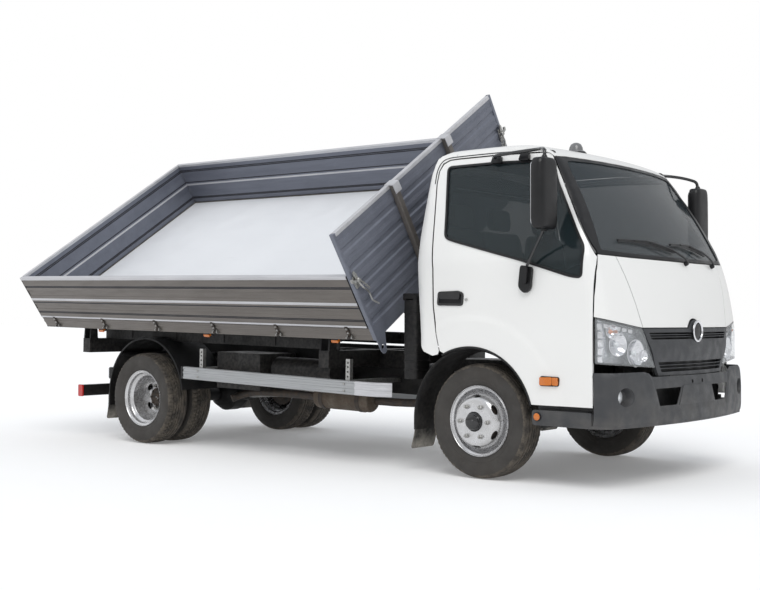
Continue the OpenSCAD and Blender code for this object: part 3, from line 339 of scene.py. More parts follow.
def lathe(profile, n=64, axis="y", at=(0, 0, 0), closed=True):
    # Profile points are (radius, place along axis)
    bm = bmesh.new()
    rings = []
    for r, h in profile:
        ring = []
        for i in range(n):
            a = 2 * math.pi * i / n
            c, s = max(r, 1e-5) * math.cos(a), max(r, 1e-5) * math.sin(a)
            q = {"y": (c, h, s), "x": (h, c, s), "z": (c, s, h)}[axis]
            ring.append(bm.verts.new(Vector(q) + Vector(at)))
        rings.append(ring)
    m = len(rings)
    for j in range(m if closed else m - 1):
        for i in range(n):
            k = (i + 1) % n
            bm.faces.new((rings[j][i], rings[j][k], rings[(j + 1) % m][k], rings[(j + 1) % m][i]))
    if not closed:
        bm.faces.new(rings[0])
        bm.faces.new(rings[-1][::-1])
    bmesh.ops.remove_doubles(bm, verts=bm.verts, dist=2e-5)
    bmesh.ops.recalc_face_normals(bm, faces=bm.faces)
    return bm


def smooth_path(points, n=8):
    # A Catmull-Rom curve through the points
    pts = [Vector(p) for p in points]
    pts = [2 * pts[0] - pts[1]] + pts + [2 * pts[-1] - pts[-2]]
    out = []
    for i in range(1, len(pts) - 2):
        a, b, c, d = pts[i - 1:i + 3]
        for k in range(n):
            t = k / n
            out.append(0.5 * (2 * b + (c - a) * t + (2 * a - 5 * b + 4 * c - d) * t * t
                              + (3 * b - 3 * c + d - a) * t ** 3))
    return out + [pts[-2]]


def sweep(path, section, up=(0, 0, 1)):
    # Sweeps a closed section (right, up) along a path
    bm = bmesh.new()
    path = [Vector(p) for p in path]
    rings = []
    ref = Vector(up)
    for i, p in enumerate(path):
        t = (path[min(i + 1, len(path) - 1)] - path[max(i - 1, 0)]).normalized()
        rt = t.cross(ref).normalized()
        u = rt.cross(t)
        rings.append([bm.verts.new(p + rt * q[0] + u * q[1]) for q in section])
    n = len(section)
    for a, b in zip(rings, rings[1:]):
        for i in range(n):
            j = (i + 1) % n
            bm.faces.new((a[i], a[j], b[j], b[i]))
    bm.faces.new(rings[0][::-1])
    bm.faces.new(rings[-1])
    bmesh.ops.recalc_face_normals(bm, faces=bm.faces)
    return bm


def circle(r, n=12):
    return [(r * math.cos(2 * math.pi * i / n), r * math.sin(2 * math.pi * i / n)) for i in range(n)]


def tube(points, r, n=12, smooth=8, up=(0.02, 0.01, 1)):
    return sweep(smooth_path(points, smooth) if smooth else points, circle(r, n), up)


def fill2d(loops, step):
    # Fills an outline with holes, then cuts it into a clean grid
    bm = bmesh.new()
    edges = []
    for loop in loops:
        vs = [bm.verts.new((q[0], q[1], 0)) for q in loop]
        edges += [bm.edges.new((vs[i], vs[(i + 1) % len(vs)])) for i in range(len(vs))]
    bmesh.ops.triangle_fill(bm, use_beauty=True, use_dissolve=False, edges=edges)
    for ax in (0, 1):
        cs = [v.co[ax] for v in bm.verts]
        for i in range(math.ceil(min(cs) / step), math.floor(max(cs) / step) + 1):
            co, no = Vector((0, 0, 0)), Vector((0, 0, 0))
            co[ax], no[ax] = i * step, 1
            bmesh.ops.bisect_plane(bm, geom=bm.verts[:] + bm.edges[:] + bm.faces[:], dist=1e-5,
                                   plane_co=co, plane_no=no)

    def on_grid(e):
        a, b = e.verts[0].co, e.verts[1].co
        return any(abs(a[i] - b[i]) < 2e-5 and abs(a[i] / step - round(a[i] / step)) < 1e-3 for i in (0, 1))
    bmesh.ops.dissolve_edges(bm, edges=[e for e in bm.edges if len(e.link_faces) == 2 and not on_grid(e)],
                             use_verts=False)
    for f in bm.faces:
        if f.normal.z < 0:
            f.normal_flip()
    return bm


def skin(loops, at, thick, step=0.04, flip=False):
    # An outline with holes, laid on the surface at(u, v), with its thickness put inside
    bm = fill2d(loops, step)
    e = 1e-4
    inner = {}
    verts, faces = bm.verts[:], bm.faces[:]
    rim = [ed for ed in bm.edges if len(ed.link_faces) == 1]
    for v in verts:
        u, h = v.co.x, v.co.y
        p0 = Vector(at(u, h))
        n = (Vector(at(u + e, h)) - Vector(at(u - e, h))).cross(Vector(at(u, h + e)) - Vector(at(u, h - e)))
        n = n.normalized() * (-1 if flip else 1)
        v.co = p0
        inner[v] = bm.verts.new(p0 - n * thick)
    for f in faces:
        bm.faces.new([inner[v] for v in f.verts][::-1])
    for ed in rim:
        a, b = ed.verts
        bm.faces.new((a, b, inner[b], inner[a]))
    bmesh.ops.recalc_face_normals(bm, faces=bm.faces)
    return bm


def piece(name, bm, body, mat, place=truck, bevel=0.0, seg=2, angle=35, subdiv=0, nodes=()):
    if place:
        for v in bm.verts:
            v.co = place(v.co)
    bmesh.ops.recalc_face_normals(bm, faces=bm.faces)
    me = bpy.data.meshes.new(name)
    bm.to_mesh(me)
    bm.free()
    for m in mat if isinstance(mat, (list, tuple)) else [mat]:
        me.materials.append(M[m])
    o = bpy.data.objects.new(name, me)
    bpy.context.scene.collection.objects.link(o)
    me.polygons.foreach_set("use_smooth", [True] * len(me.polygons))
    if bevel:
        b = o.modifiers.new("b", "BEVEL")
        b.width = bevel
        b.segments = seg
        b.limit_method = "ANGLE"
        b.angle_limit = math.radians(angle)
        b.harden_normals = True
        b.use_clamp_overlap = True
    elif not subdiv:
        me.set_sharp_from_angle(angle=math.radians(angle))
    if subdiv:
        d = o.modifiers.new("s", "SUBSURF")
        d.levels = d.render_levels = subdiv
    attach(o, body)
    if nodes:
        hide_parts(*nodes)
    return o


# ---------- camera ----------
cam_data = bpy.data.cameras.new("camera")
cam = bpy.data.objects.new("camera", cam_data)
bpy.context.scene.collection.objects.link(cam)
bpy.context.scene.camera = cam
SENSOR_MM = 36
FOCAL_PX = 1147.5
PICTURE_PX = 760
cam_data.sensor_width = SENSOR_MM
cam_data.lens = FOCAL_PX / PICTURE_PX * SENSOR_MM
cam_data.clip_end = 200
yaw, pitch, roll = math.radians(130.205), math.radians(1.235), math.radians(0.142)
fwd = Vector((math.cos(yaw) * math.cos(pitch), math.sin(yaw) * math.cos(pitch), math.sin(pitch)))
right = Vector((math.sin(yaw), -math.cos(yaw), 0))
up = right.cross(fwd)
right, up = (math.cos(roll) * right + math.sin(roll) * up, math.cos(roll) * up - math.sin(roll) * right)
cam.matrix_world = Matrix.Translation(truck((4.428, -7.175, 1.055))) @ Matrix(
    (right, up, -fwd)).transposed().to_4x4()

# ---------- stage and lights ----------
world = bpy.data.worlds.new("world")
bpy.context.scene.world = world
world.use_nodes = True
wn, wl = world.node_tree.nodes, world.node_tree.links
lp, white = wn.new("ShaderNodeLightPath"), wn.new("ShaderNodeBackground")
mixw, seen = wn.new("ShaderNodeMixShader"), wn.new("ShaderNodeMath")
seen.operation = "MAXIMUM"
# Sky above, pale ground glow below, so that glossy paint has something to show
co, sep, ramp = wn.new("ShaderNodeTexCoord"), wn.new("ShaderNodeSeparateXYZ"), wn.new("ShaderNodeValToRGB")
wl.new(co.outputs["Generated"], sep.inputs[0])
wl.new(sep.outputs[2], ramp.inputs[0])
ramp.color_ramp.elements[0].color = (0.66, 0.655, 0.645, 1)
ramp.color_ramp.elements[1].color = (0.80, 0.84, 0.90, 1)
mid = ramp.color_ramp.elements.new(0.06)
mid.color = (0.90, 0.90, 0.90, 1)
wl.new(ramp.outputs[0], wn["Background"].inputs[0])
wn["Background"].inputs[1].default_value = 0.78
white.inputs[0].default_value = (1, 1, 1, 1)
white.inputs[1].default_value = 1.0
wl.new(lp.outputs["Is Camera Ray"], seen.inputs[0])
wl.new(lp.outputs["Is Transmission Ray"], seen.inputs[1])
wl.new(seen.outputs[0], mixw.inputs[0])
wl.new(wn["Background"].outputs[0], mixw.inputs[1])
wl.new(white.outputs[0], mixw.inputs[2])
wl.new(mixw.outputs[0], wn["World Output"].inputs[0])
bpy.context.scene.view_settings.view_transform = "Standard"

bm = bmesh.new()
bmesh.ops.create_grid(bm, x_segments=1, y_segments=1, size=150)
me = bpy.data.meshes.new("ground")
bm.to_mesh(me)
bm.free()
ground = bpy.data.objects.new("ground", me)
bpy.context.scene.collection.objects.link(ground)
g = Mat("ground", (0.86, 0.86, 0.86), 1.0, Specular_IOR_Level=0.0, Emission_Color=(1, 1, 1, 1),
    Emission_Strength=0.16)
g.mix(g.noise(3), (0.85, 0.85, 0.85))
me.materials.append(g.m)


def sun(name, toward, power, angle, color=(1, 1, 1)):
    d = bpy.data.lights.new(name, "SUN")
    d.energy = power
    d.angle = math.radians(angle)
    d.color = color
    o = bpy.data.objects.new(name, d)
    o.rotation_euler = Vector(toward).to_track_quat("-Z", "Y").to_euler()
    bpy.context.scene.collection.objects.link(o)


sun("key", (-0.55, 0.62, -1.0), 1.25, 35, (1, 0.99, 0.97))
sun("fill", (0.7, 0.5, -0.6), 0.3, 60, (0.97, 0.98, 1))

# ---------- wheels ----------
# Axle height, bead radius, stud circle radius, and half the distance between twin tyres
W_Z = 0.3835
RIM = 0.222
STUD_R = 0.11112
HALF_PITCH = 0.1305


def tyre_mesh(y, lugs):
    # Sidewall and tread, with grooves round it and, on the rear, blocks
    n = 192
    r0 = 0.3835
    half = [(RIM + 0.001, 0.0755), (RIM + 0.008, 0.079), (RIM + 0.016, 0.0815), (RIM + 0.022, 0.088),
            (0.256, 0.0945), (0.268, 0.0985), (0.272, 0.1002), (0.276, 0.0992), (0.292, 0.1045),
            (0.310, 0.1070),
            (0.328, 0.1073), (0.341, 0.1058), (0.345, 0.1046), (0.352, 0.1030), (0.3600, 0.1005),
            (0.3680, 0.0965)]
    crown = []
    for i in range(0, 37):
        v = 0.092 - i * 0.092 / 36
        rr = r0 - 0.0005 - 0.010 * (v / 0.092) ** 4
        g = min(abs(v - c) for c in (0.0, 0.026, 0.056))
        if g < 0.0045:
            rr -= 0.010 * (1 - (g / 0.0045) ** 4)
        crown.append((rr, v))
    prof = half + crown
    prof = prof + [(r, -v) for r, v in prof[::-1][1:]]
    bm = lathe(prof, n, "y", (0, 0, 0))
    for f in bm.faces:
        c = f.calc_center_median()
        if math.hypot(c.x, c.z) > 0.3585 and abs(c.y) < 0.099:
            f.material_index = 1
    for v in bm.verts:
        r = math.hypot(v.co.x, v.co.z)
        if r < 0.355:
            continue
        a = math.atan2(v.co.z, v.co.x)
        t, yy = (a / (2 * math.pi)) % 1, abs(v.co.y)
        row = 0 if yy < 0.026 else 1 if yy < 0.056 else 2
        k = (t * 64 + row * 0.33 + (0.2 if v.co.y > 0 else 0)) % 1
        cut = 0
        if lugs and k < 0.3:
            cut = 0.008 if row else 0.005
        elif not lugs and row == 2 and yy > 0.080 and (t * 64) % 1 < 0.34:
            cut = 0.004
        if r - cut > 0.352:
            v.co.x *= (r - cut) / r
            v.co.z *= (r - cut) / r
    for v in bm.verts:
        v.co += Vector((0, y, W_Z))
    return bm


def rim_mesh(y, s):
    # The rim well with its lips, and the pierced disc dished towards side s
    w = 0.088
    t = 0.007
    outer = [(0.236, w), (0.2375, w - 0.003), (0.236, w - 0.006), (0.229, w - 0.009), (0.2225, w - 0.014),
             (0.2215, w - 0.036), (0.2180, w - 0.043), (0.2020, w - 0.052), (0.1965, w - 0.058)]
    outer = outer + [(r, -v) for r, v in outer[::-1]]
    inner = [(r - t, v * 0.985) for r, v in outer[1:-1]]
    well = lathe(outer + inner[::-1], 96, "y")
    f = 0.1305
    line = [(0.066, f), (0.138, f), (0.150, f - 0.004), (0.158, f - 0.014), (0.168, f - 0.030),
        (0.178, f - 0.050),
            (0.186, f - 0.072), (0.1885, f - 0.098)]
    lens = [0]
    for a, b in zip(line, line[1:]):
        lens.append(lens[-1] + math.dist(a, b))

    def at(u, v):
        v = min(max(v, 0), lens[-1] - 1e-9)
        i = max(j for j in range(len(lens) - 1) if lens[j] <= v)
        k = (v - lens[i]) / (lens[i + 1] - lens[i])
        r = line[i][0] + (line[i + 1][0] - line[i][0]) * k
        h = line[i][1] + (line[i + 1][1] - line[i][1]) * k
        a = u / 0.16
        return (r * math.cos(a), s * h, r * math.sin(a))
    parts = [well]
    c = 2 * math.pi * 0.16
    for i in range(6):
        a0, a1 = c * i / 6, c * (i + 1) / 6
        mid = (a0 + a1) / 2
        hole = [(mid + 0.034 * math.cos(q * math.pi / 12), 0.104 + 0.019 * math.sin(q * math.pi / 12))
                for q in range(24)]
        ring = [(a0 + (a1 - a0) * q / 8, 0) for q in range(9)] + [(a1 - (a1 - a0) * q / 8,
            lens[-1]) for q in range(9)]
        parts.append(skin([ring, hole], at, 0.010, 0.012, flip=s > 0))
    bm = join(*parts)
    bmesh.ops.remove_doubles(bm, verts=bm.verts, dist=1e-5)

    def on_seam(v):
        t = math.atan2(v.co.z, v.co.x) / (math.pi / 3)
        return abs(t - round(t)) < 1e-4
    walls = [f for f in bm.faces if all(on_seam(v) for v in f.verts)]
    bmesh.ops.delete(bm, geom=walls, context="FACES_ONLY")
    for v in bm.verts:
        v.co += Vector((0, y, W_Z))
    return bm


def nuts(y, s):
    # Six wheel nuts with their studs, on side s of the disc at y
    parts = []
    for i in range(6):
        a = math.radians(60 * i)
        x, z = STUD_R * math.cos(a), W_Z + STUD_R * math.sin(a)
        parts.append(lathe([(0.0195, y), (0.0195, y + s * 0.005), (0.0155, y + s * 0.008),
            (0.0155, y + s * 0.026),
                            (0.012, y + s * 0.030), (0.0085, y + s * 0.030), (0.0085, y + s * 0.040),
                            (0.006, y + s * 0.043)], 6, "y", (x, 0, z), closed=False))
    return join(*parts)


def wheel_set(tag, word, s, y_tyres, lugs, body, tyre_node, wheel_node, x):
    def place(p):
        return truck((p[0] + x, s * p[1], p[2]))
    for i, (y, out) in enumerate(y_tyres):
        piece(f"{tag}_tyre_{word}_{i}", tyre_mesh(y, lugs), body, ["tyre", "tread"], place, angle=28,
              nodes=[tyre_node] if i == 0 else ())
        piece(f"{tag}_rim_{word}_{i}", rim_mesh(y, out), body, "rim", place, bevel=0.0015, angle=40,
              nodes=[wheel_node] if i == 0 else ())
        bm = tube([(0.170, y + 0.060, W_Z), (0.190, y + 0.072, W_Z + 0.01), (0.196, y + 0.096, W_Z + 0.02)],
            0.0035, 8, 5)
        piece(f"{tag}_valve_{word}_{i}", bm, body, "zinc", place)
    y = y_tyres[0][0]
    if lugs:
        f = y - HALF_PITCH + 0.012
        piece(f"{tag}_nuts_{word}", nuts(f, 1), body, "zinc", place, bevel=0.001)
        hub = lathe([(0.064, f - 0.10), (0.064, f + 0.012), (0.058, f + 0.016), (0.056, f + 0.030),
            (0.078, f + 0.031),
                     (0.080, f + 0.036), (0.080, f + 0.046), (0.076, f + 0.050), (0.040, f + 0.053),
                     (0.034, f + 0.060),
                     (0.0, f + 0.060)], 48, "y", (0, 0, W_Z), closed=False)
        bolts = [lathe([(0.0085, f + 0.046), (0.0085, f + 0.058), (0.006, f + 0.060)], 6, "y",
                       (0.066 * math.cos(i * math.pi / 4), 0, W_Z + 0.066 * math.sin(i * math.pi / 4)),
                       closed=False)
                 for i in range(8)]
        piece(f"{tag}_hub_{word}", join(hub, *bolts), body, "iron", place, bevel=0.001)
    else:
        f = y + HALF_PITCH
        piece(f"{tag}_nuts_{word}", nuts(f, 1), body, "zinc", place, bevel=0.001)
        hub = lathe([(0.064, f - 0.06), (0.064, f + 0.004), (0.060, f + 0.012), (0.054, f + 0.014),
            (0.053, f + 0.034),
                     (0.049, f + 0.041), (0.040, f + 0.045), (0.018, f + 0.046), (0.014, f + 0.050),
                     (0.0, f + 0.050)],
                    48, "y", (0, 0, W_Z), closed=False)
        piece(f"{tag}_cap_{word}", hub, body, "trim", place, bevel=0.001)
    f = y_tyres[-1][0] + HALF_PITCH - 0.012
    drum = lathe([(0.066, f), (0.136, f - 0.001), (0.136, f - 0.014), (0.150, f - 0.016), (0.152, f - 0.050),
                  (0.148, f - 0.052), (0.148, f - 0.118), (0.098, f - 0.120), (0.098, f - 0.130),
                  (0.045, f - 0.130),
                  (0.045, f - 0.02)], 64, "y", (0, 0, W_Z))
    piece(f"{tag}_drum_{word}", drum, body, "iron", place, bevel=0.001)


for s, word in ((1, "left"), (-1, "right")):
    wheel_set("front", word, s, [(0.83, 1)], False, f"front_wheel_{word}", f"tyre_front_{word}",
              f"wheel_front_{word}", 0)
    wheel_set("rear", word, s, [(0.9225, -1), (0.6615, 1)], True, f"rear_wheels_{word}", f"tyres_rear_{word}",
              f"wheels_rear_{word}", -3.43)

# ---------- bed ----------
REAR, FRONT, INF, HW, BT, BH, FH = -4.756, -0.776, -0.804, 1.085, 0.028, 0.431, 0.755
FACE = HW + 0.001


def grooves(zs, d=0.004, w=0.007):
    # Points of narrow grooves, as (depth outwards, height)
    out = []
    for z in zs:
        out += [(0, z - w / 2 - 0.002), (-d, z - w / 2), (-d, z + w / 2), (0, z + w / 2 + 0.002)]
    return out


# Heights of the narrow grooves whose floors get painted shade
SHADED_GROOVES_OUT, SHADED_GROOVES_IN = (0.062, 0.070, 0.170, 0.330, 0.339), (0.050, 0.062, 0.232, 0.352, 0.366)
BANDS_OUT = ([(0, 0.006), (0.003, 0.007), (0.0042, 0.010), (0.0042, 0.018), (0.003, 0.0205), (0, 0.022)]
             + grooves((0.062, 0.070)) + [(0, 0.100), (-0.005, 0.106), (-0.005, 0.142), (0, 0.148)]
             + grooves((0.170,)) + [(0, 0.190), (0.003, 0.1915), (0.0042, 0.194), (0.0042, 0.206), (0, 0.213)]
             + [(0, 0.238), (-0.005, 0.244), (-0.005, 0.292), (0, 0.298)] + grooves((0.330, 0.339))
             + [(0, 0.404), (0.003, 0.4055), (0.0042, 0.409), (0.0042, 0.428), (0.002, 0.431)])
BANDS_IN = ([(0, 0.006)] + grooves((0.050, 0.062), 0.006) + [(0, 0.100), (-0.007, 0.112), (-0.007, 0.148),
    (0, 0.160)]
            + [(0, 0.196), (0.003, 0.199), (0.003, 0.210), (0, 0.213)] + grooves((0.232,), 0.006)
            + [(0, 0.262), (-0.007, 0.276), (-0.007, 0.318), (0, 0.332)] + grooves((0.352, 0.366), 0.006)
            + [(0, 0.404), (0.002, 0.407), (0.002, 0.429), (0, 0.431)])


# Height bands of the bright strips
BRIGHT = ((0.005, 0.022), (0.190, 0.213), (0.403, 0.440))


def board_mesh(x0, x1):
    # Slot 0 outside, 1 inside, 2 bright strips, 3 narrow groove floors in a dark copy of the board colour as painted
    # shade
    sec = [(FACE + o, z) for o, z in BANDS_OUT] + [(FACE - BT - o * 0.6, z) for o, z in BANDS_IN[::-1]]
    bm = prism(sec, x0, x1, "x")
    for f in bm.faces:
        c = f.calc_center_median()
        if len(f.verts) > 4:
            f.material_index = 2
            continue
        f.material_index = 1 if c.y < FACE - BT / 2 else 0
        # Recessed faces near these heights take slot 3, the painted shade
        dark = SHADED_GROOVES_OUT if f.material_index == 0 else SHADED_GROOVES_IN
        deep = FACE - 0.001 > c.y > FACE - BT + 0.001
        if deep and any(abs(c.z - z) < 0.006 for z in dark):
            f.material_index = 3
        near = c.y > FACE + 0.0008 or c.z > BH - 0.004 or (c.y < FACE - BT - 0.0008 and c.z > 0.19)
        if near and any(a < c.z < b for a, b in BRIGHT):
            f.material_index = 2
    return bm


def at_tail(p):
    # Turns a piece drawn for the left side, at x = 0, to the rear
    return on_bed((REAR + HW - p[1], p[0], p[2]))


BOARD = ["board_out", "board_in", "edge_strip", "groove_shade"]
for s, word in ((1, "left"), (-1, "right")):
    place = side(s, on_bed)
    body = f"{word}_side_board"
    piece(f"board_{word}", board_mesh(REAR + 0.001, INF - 0.008), body, BOARD, place, bevel=0.0012, angle=30,
          nodes=[f"side_board_{word}"])
    straps = []
    bolts = []
    for i in range(6):
        x = REAR + 0.198 + i * (3.98 - 0.428) / 5
        straps.append(prism(rounded([(-0.015, -0.075), (0.015, -0.075), (0.015, 0.016), (-0.015, 0.016)],
            0.008),
                            HW + 0.0035, HW + 0.0095, "y"))
        for v in straps[-1].verts:
            v.co.x += x
        straps.append(lathe([(0.0115, x - 0.015), (0.0115, x + 0.015), (0.0062, x + 0.015),
            (0.0062, x - 0.015)], 20,
                            "x", (0, HW + 0.014, -0.075)))
        for z in (-0.036, -0.004):
            bolts.append(lathe([(0.009, HW + 0.0095), (0.009, HW + 0.011), (0.0065, HW + 0.0115),
                                (0.0065, HW + 0.016), (0.004, HW + 0.0165)], 6, "y", (x, 0, z), closed=False))
    piece(f"board_straps_{word}", join(*straps), body, "iron", place, bevel=0.0012)
    piece(f"board_bolts_{word}", join(*bolts), body, "zinc", place, bevel=0.0008)
    caps = [prism(rounded([(HW - 0.026, 0.008), (HW + 0.002, 0.008), (HW + 0.002, 0.428),
        (HW - 0.026, 0.428)], 0.006, 3),
                  x, x + 0.004, "x") for x in (REAR - 0.0025, INF - 0.0085)]
    piece(f"board_ends_{word}", join(*caps), body, "shell", place, bevel=0.001)
tail_half = HW - BT - 0.006
piece("board_rear", board_mesh(-tail_half, tail_half), "rear_board", BOARD, at_tail, bevel=0.0012, angle=30,
      nodes=["tail_board"])
straps, bolts = [], []
for i in range(4):
    x = (i / 3 - 0.5) * (2.17 - 0.5)
    straps.append(prism(rounded([(x - 0.015, -0.075), (x + 0.015, -0.075), (x + 0.015, 0.016),
        (x - 0.015, 0.016)],
                                0.008), HW + 0.0035, HW + 0.0095, "y"))
    straps.append(lathe([(0.0115, x - 0.015), (0.0115, x + 0.015), (0.0062, x + 0.015), (0.0062, x - 0.015)],
        20,
                        "x", (0, HW + 0.014, -0.075)))
    bolts.append(lathe([(0.009, HW + 0.0095), (0.009, HW + 0.011), (0.0065, HW + 0.0115),
        (0.0065, HW + 0.016),
                        (0.004, HW + 0.0165)], 6, "y", (x, 0, -0.004), closed=False))
piece("rear_straps", join(*straps), "rear_board", "iron", at_tail, bevel=0.0012)
piece("rear_bolts", join(*bolts), "rear_board", "zinc", at_tail, bevel=0.0008)

# The edge profile under the boards: a ridged channel with the hinge lugs
edge = [(HW, -0.100), (HW, -0.090), (HW - 0.003, -0.087), (HW - 0.003, -0.052), (HW, -0.049), (HW, -0.030),
        (HW - 0.003, -0.027), (HW - 0.003, -0.010), (HW, -0.007), (HW, 0.0), (HW - 0.045, 0.0),
        (HW - 0.045, -0.006),
        (HW - 0.006, -0.006), (HW - 0.006, -0.094), (HW - 0.045, -0.094), (HW - 0.045, -0.100)]
mesh = []
lugs = []
for s in (1, -1):
    run = prism(edge, REAR, INF - 0.0005, "x")
    for v in run.verts:
        v.co.y *= s
    mesh.append(run)
    for i in range(6):
        x = REAR + 0.198 + i * (3.98 - 0.428) / 5
        for e in (x - 0.022, x + 0.016):
            lug = prism(rounded([(HW - 0.001, -0.055), (HW + 0.012, -0.062), (HW + 0.024, -0.075),
                (HW + 0.012, -0.089),
                                 (HW - 0.001, -0.096)], 0.005, 3), e, e + 0.006, "x")
            for v in lug.verts:
                v.co.y *= s
            lugs.append(lug)
        lugs.append(lathe([(0.0058, x - 0.026), (0.0058, x + 0.026)], 14, "x", (0, s * (HW + 0.014), -0.075),
            closed=False))
        for e in (x - 0.030, x + 0.023):
            lugs.append(lathe([(0.0100, e), (0.0100, e + 0.007)], 6, "x", (0, s * (HW + 0.014), -0.075),
                closed=False))
tail = prism(edge, -HW + 0.04, HW - 0.04, "x")
for v in tail.verts:
    v.co = Vector((REAR + HW - v.co.y, v.co.x, v.co.z))
mesh.append(tail)
for i in range(4):
    y = (i / 3 - 0.5) * (2.17 - 0.5)
    for e in (y - 0.022, y + 0.016):
        lug = prism([(HW - 0.001, -0.055), (HW + 0.012, -0.062), (HW + 0.024, -0.075), (HW + 0.012, -0.089),
                     (HW - 0.001, -0.096)], e, e + 0.006, "x")
        for v in lug.verts:
            v.co = Vector((REAR + HW - v.co.y, v.co.x, v.co.z))
        lugs.append(lug)
    pin = lathe([(0.0058, y - 0.026), (0.0058, y + 0.026)], 14, "x", (0, HW + 0.014, -0.075), closed=False)
    for v in pin.verts:
        v.co = Vector((REAR + HW - v.co.y, v.co.x, v.co.z))
    lugs.append(pin)
mesh.append(box((INF - 0.045, -HW + 0.045, -0.1), (INF - 0.001, HW - 0.045, -0.001)))
piece("bed_edge", join(*mesh), "bed", "board_out", on_bed, bevel=0.001, angle=30, nodes=["bed_edges"])
piece("bed_lugs", join(*lugs), "bed", "zinc", on_bed, bevel=0.0008)

# Front board: ribbed panels, bright top rail, end posts, stakes with pale caps
sec_out = [(0, -0.100)]
sec_in = [(0, 0.001)]
for z in (0.04, 0.182, 0.324, 0.466, 0.608):
    sec_out += [(0, z - 0.026), (-0.008, z - 0.014), (-0.008, z + 0.014), (0, z + 0.024)]
    sec_out += grooves((z + 0.062, z + 0.072, z + 0.082), 0.0022, 0.004)
    sec_in += grooves((z + 0.010, z + 0.022), 0.003) + [(0, z + 0.046), (-0.006, z + 0.056),
        (-0.006, z + 0.086),
                                                       (0, z + 0.096)]
sec_out += [(0, 0.726), (0.003, 0.729), (0.003, 0.752), (0.001, 0.755)]
sec_in += [(0, 0.726), (0.003, 0.729), (0.003, 0.752), (0.001, 0.755)]
sec = [(FRONT + o, z) for o, z in sec_out] + [(INF - o, z) for o, z in sec_in[::-1]] + [(INF, -0.1)]
bm = prism([(a, b) for a, b in sec], -HW + 0.018, HW - 0.018, "y")
for f in bm.faces:
    c = f.calc_center_median()
    f.material_index = 2 if c.z > 0.727 else 1 if (c.x < INF + 0.012 or len(f.verts) == 4) else 0
piece("front_board_panel", bm, "bed", BOARD, on_bed, bevel=0.001, angle=30, nodes=["front_board"])
posts = []
for s in (1, -1):
    a, b = sorted((s * (HW - 0.030), s * HW))
    posts.append(prism(rounded([(INF - 0.002, a), (FRONT + 0.004, a), (FRONT + 0.004, b), (INF - 0.002, b)],
        0.006, 3),
                       -0.1, FH, "z"))
piece("front_posts", join(*posts), "bed", ["board_in"], on_bed, bevel=0.001)
foot = rounded([(HW - 0.15, 0.02), (HW + 0.0005, 0.02), (HW + 0.0005, -0.19), (HW - 0.014, -0.222),
    (HW - 0.046, -0.222),
                (HW - 0.062, -0.19)], 0.012, 4)
hole = [(HW - 0.030 + 0.017 * math.cos(a * math.pi / 12),
    -0.168 + 0.017 * math.sin(a * math.pi / 12)) for a in range(24)]
for s, word in ((1, "left"), (-1, "right")):
    bm = skin([foot, hole], lambda u, v: (FRONT + 0.008, u, v), 0.008, 0.05)
    piece(f"front_foot_{word}", bm, "bed", "board_in", side(s, on_bed), bevel=0.0015)
    y0 = 0.36
    st = prism(rounded([(FRONT, y0 - 0.030), (FRONT + 0.040, y0 - 0.024), (FRONT + 0.040, y0 + 0.024),
                        (FRONT, y0 + 0.030)], 0.006, 3), -0.1, FH - 0.012, "z")
    piece(f"stake_{word}", st, "bed", "board_out", side(s, on_bed), bevel=0.0015)
    cap = prism(rounded([(INF - 0.006, FH - 0.004), (INF - 0.006, FH + 0.005), (FRONT + 0.046, FH + 0.003),
                         (FRONT + 0.050, FH - 0.070), (FRONT + 0.044, FH - 0.074),
                         (FRONT + 0.040, FH - 0.006)], 0.004, 3),
                y0 - 0.036, y0 + 0.036, "y")
    piece(f"stake_cap_{word}", cap, "bed", "edge_strip", side(s, on_bed), bevel=0.0015)


def link(c, u, v, a=0.012, b=0.0075, r=0.0026):
    # One oval chain link in the plane of u and v
    c, u, v = Vector(c), Vector(u).normalized(), Vector(v).normalized()
    n = u.cross(v)
    bm = bmesh.new()
    rings = []
    for i in range(20):
        t = 2 * math.pi * i / 20
        o = u * (a * math.cos(t)) + v * (b * math.sin(t))
        d = (u * (math.cos(t) / a) + v * (math.sin(t) / b)).normalized()
        rings.append([bm.verts.new(c + o + d * (r * math.cos(k * math.pi / 4)) + n * (r * math.sin(k * math.pi / 4)))
                      for k in range(8)])
    for i in range(20):
        for k in range(8):
            j, m = (i + 1) % 20, (k + 1) % 8
            bm.faces.new((rings[i][k], rings[i][m], rings[j][m], rings[j][k]))
    return bm


